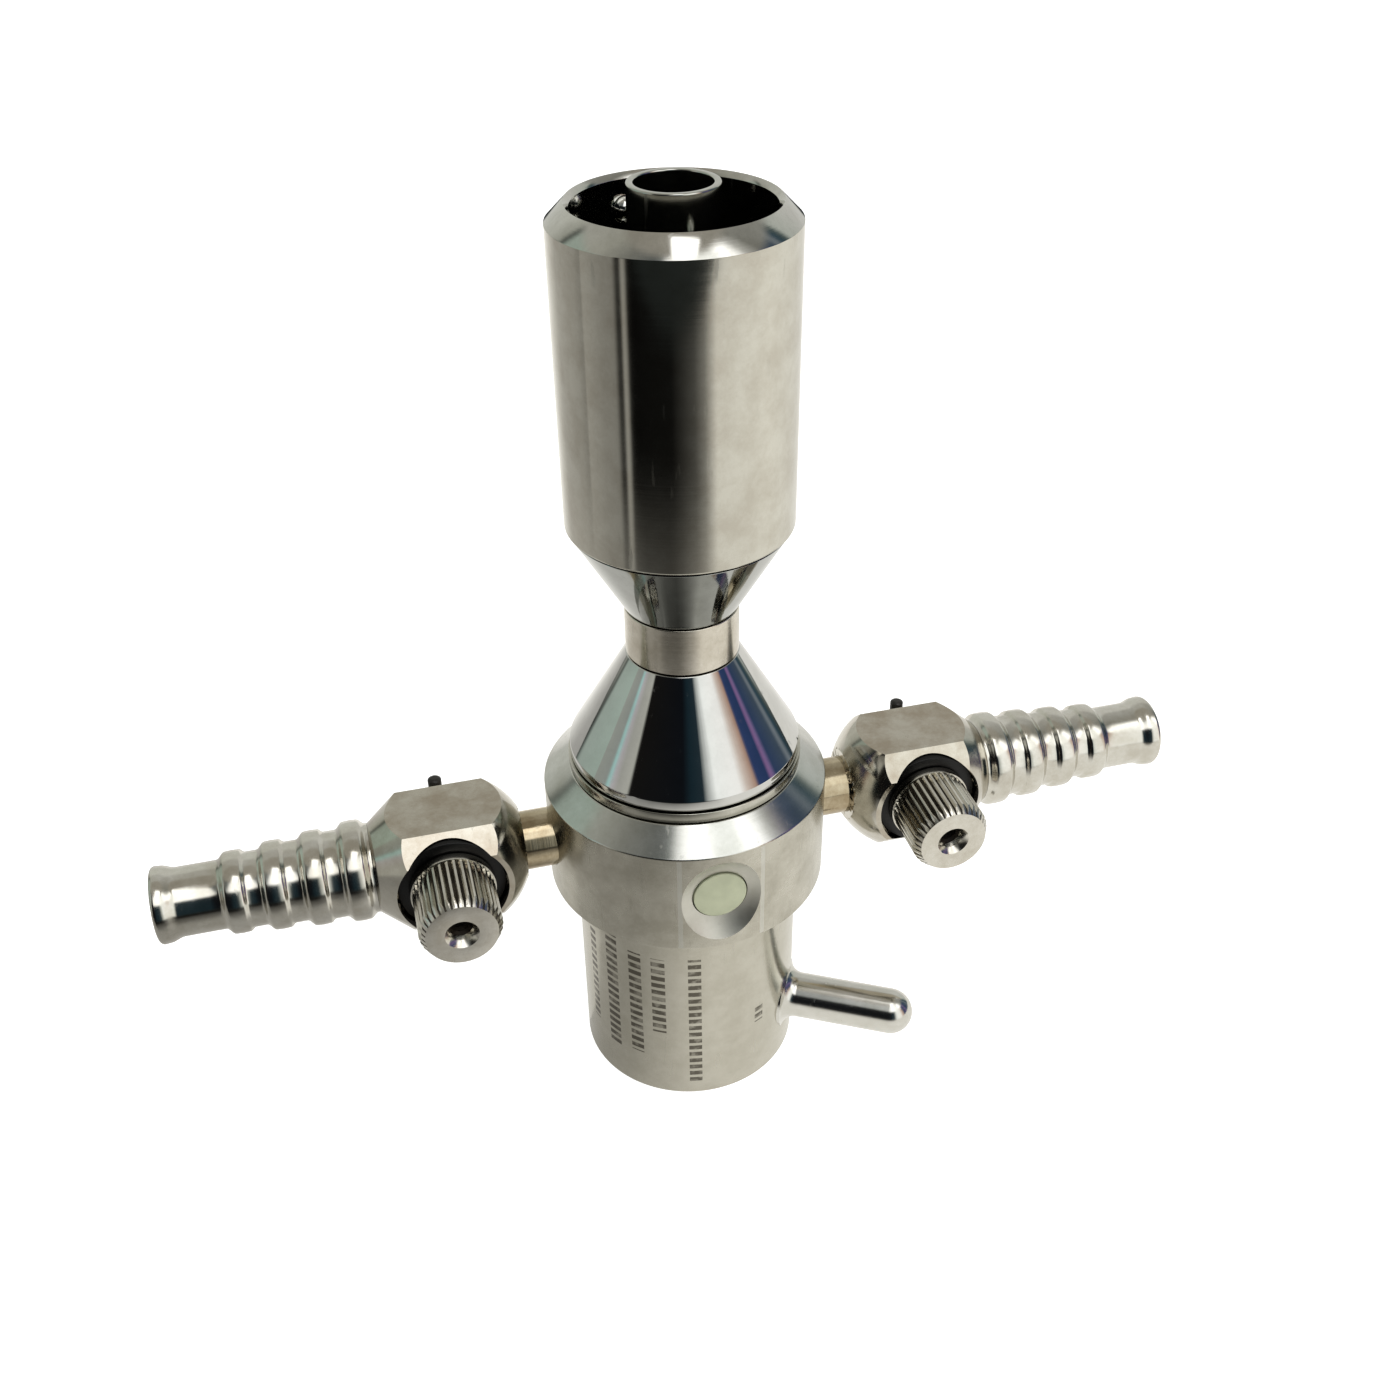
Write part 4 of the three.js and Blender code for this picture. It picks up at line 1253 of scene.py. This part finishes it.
for nearest, farthest, next_tone in ((26, 64, middle_tone), (64, 128, far_tone)):
    reach = {"From Min": nearest * MM, "From Max": farthest * MM}
    table_tone = mixed(tree, node(tree, "MapRange", {"Value": away, **reach}), table_tone, next_tone)
glow(table_glow, glow_material, tree, glow_shader, table_tone)
table_glow.visible_camera = False

world = bpy.data.worlds.new("studio")
bpy.context.scene.world = world
world.use_nodes = True
tree = world.node_tree
where = node(tree, "TexCoord", {}, "Generated")
share = compass(tree, where)
right, back, height = split(tree, where)
wall_tones = (
    (-180, (0.38, 0.40, 0.37)),
    (-168, (0.34, 0.36, 0.34)),
    (-165, (0.42, 0.66, 0.64)),
    (-161, (0.52, 0.50, 0.52)),
    (-155, (0.44, 0.44, 0.41)),
    (-145, (0.50, 0.50, 0.46)),
    (-142, (0.015, 0.014, 0.013)),
    (-92, (0.010, 0.012, 0.016)),
    (-84, (0.018, 0.036, 0.048)),
    (-73, (0.03, 0.048, 0.06)),
    (-69, (0.45, 0.47, 0.46)),
    (-60, (1.05, 1.07, 1.05)),
    (-38, (1.05, 1.04, 1.02)),
    (-31, (0.74, 0.64, 0.58)),
    (-22, (0.50, 0.34, 0.27)),
    (-19, (0.05, 0.08, 0.19)),
    (-8, (0.04, 0.07, 0.16)),
    (-5, (0.30, 0.18, 0.36)),
    (-2, (0.22, 0.17, 0.33)),
    (1, (0.05, 0.08, 0.16)),
    (17, (0.08, 0.11, 0.15)),
    (22, (0.24, 0.27, 0.30)),
    (27, (0.04, 0.08, 0.11)),
    (32, (0.10, 0.13, 0.13)),
    (36, (0.52, 0.55, 0.52)),
    (60, (0.62, 0.62, 0.60)),
    (130, (0.58, 0.59, 0.55)),
    (143, (0.45, 0.46, 0.42)),
    (148, (0.12, 0.13, 0.12)),
    (153, (0.40, 0.46, 0.42)),
    (180, (0.42, 0.50, 0.45)),
)
ceiling_tones = (
    (-180, (0.42, 0.42, 0.38)),
    (-150, (0.26, 0.26, 0.24)),
    (-118, (0.16, 0.17, 0.17)),
    (-108, (0.25, 0.27, 0.27)),
    (-98, (1.3, 1.3, 1.3)),
    (-74, (1.7, 1.7, 1.7)),
    (-58, (1.25, 1.27, 1.25)),
    (-38, (1.2, 1.22, 1.2)),
    (-27, (1.8, 1.8, 1.8)),
    (-18, (1.5, 1.5, 1.5)),
    (-8, (0.62, 0.62, 0.60)),
    (5, (0.28, 0.28, 0.26)),
    (30, (0.34, 0.34, 0.32)),
    (90, (0.50, 0.50, 0.48)),
    (180, (0.42, 0.42, 0.38)),
)
walls = tone(tree, share, bearings(wall_tones))
ceiling = tone(tree, share, bearings(ceiling_tones))


def soft_step(value, low, high):
    """Zero below one limit of a value and one above the other, with a soft step between."""
    limits = {"From Min": low, "From Max": high}
    return node(tree, "MapRange", {"Value": value, **limits}, interpolation_type="SMOOTHSTEP")


def above(limits):
    """Zero below the first of two elevations in degrees and one above the second."""
    return soft_step(height, sin(radians(limits[0])), sin(radians(limits[1])))


def inside(value, middle, half):
    """One within half of the middle, fading out at the edge."""
    off = maths(tree, "ABSOLUTE", maths(tree, "SUBTRACT", value, middle))
    return soft_step(off, half, 0.8 * half)


lamp_light = maths(tree, "MULTIPLY", inside(right, 0.1, 0.15), inside(back, -0.29, 0.2))
overhead_lamp = mixed(tree, lamp_light, (0.37, 0.355, 0.32, 1), (2.0, 2.0, 2.0, 1))
overhead = mixed(tree, above(LAMP_START), ceiling, overhead_lamp)
upward = mixed(tree, above(WALL_TOP), walls, overhead)
around = mixed(tree, above(HORIZON), (0.03, 0.035, 0.035, 1), upward)
tree.links.new(around, tree.nodes["Background"].inputs["Color"])

# ---- camera --------------------------------------------------------------------------------
# A close hand-held view from the front and above.

CAMERA_PLACE = (0, -95.91, 102.60)
CAMERA_PITCH, CAMERA_YAW, CAMERA_ROLL = -0.6087, 0.0137, -0.0113
LENS, SENSOR_WIDTH = 37.86, 36

camera_data = bpy.data.cameras.new("camera")
camera_data.lens = LENS
camera_data.sensor_width = SENSOR_WIDTH
camera_data.clip_start = 0.005
camera_data.clip_end = 20
camera = bpy.data.objects.new("camera", camera_data)
bpy.context.collection.objects.link(camera)
ahead = Vector(
    (sin(CAMERA_YAW) * cos(CAMERA_PITCH), cos(CAMERA_YAW) * cos(CAMERA_PITCH), sin(CAMERA_PITCH))
)
sideways = ahead.cross(Vector((0, 0, 1))).normalized()
upward_axis = sideways.cross(ahead)
rightward = sideways * cos(CAMERA_ROLL) + upward_axis * sin(CAMERA_ROLL)
upright = upward_axis * cos(CAMERA_ROLL) - sideways * sin(CAMERA_ROLL)
facing = Matrix((rightward, upright, -ahead)).transposed().to_4x4()
camera.matrix_world = Matrix.Translation(Vector(CAMERA_PLACE) * MM) @ facing
bpy.context.scene.camera = camera
bpy.context.scene.view_settings.view_transform = "Standard"
bpy.context.scene.view_settings.look = "Medium High Contrast"
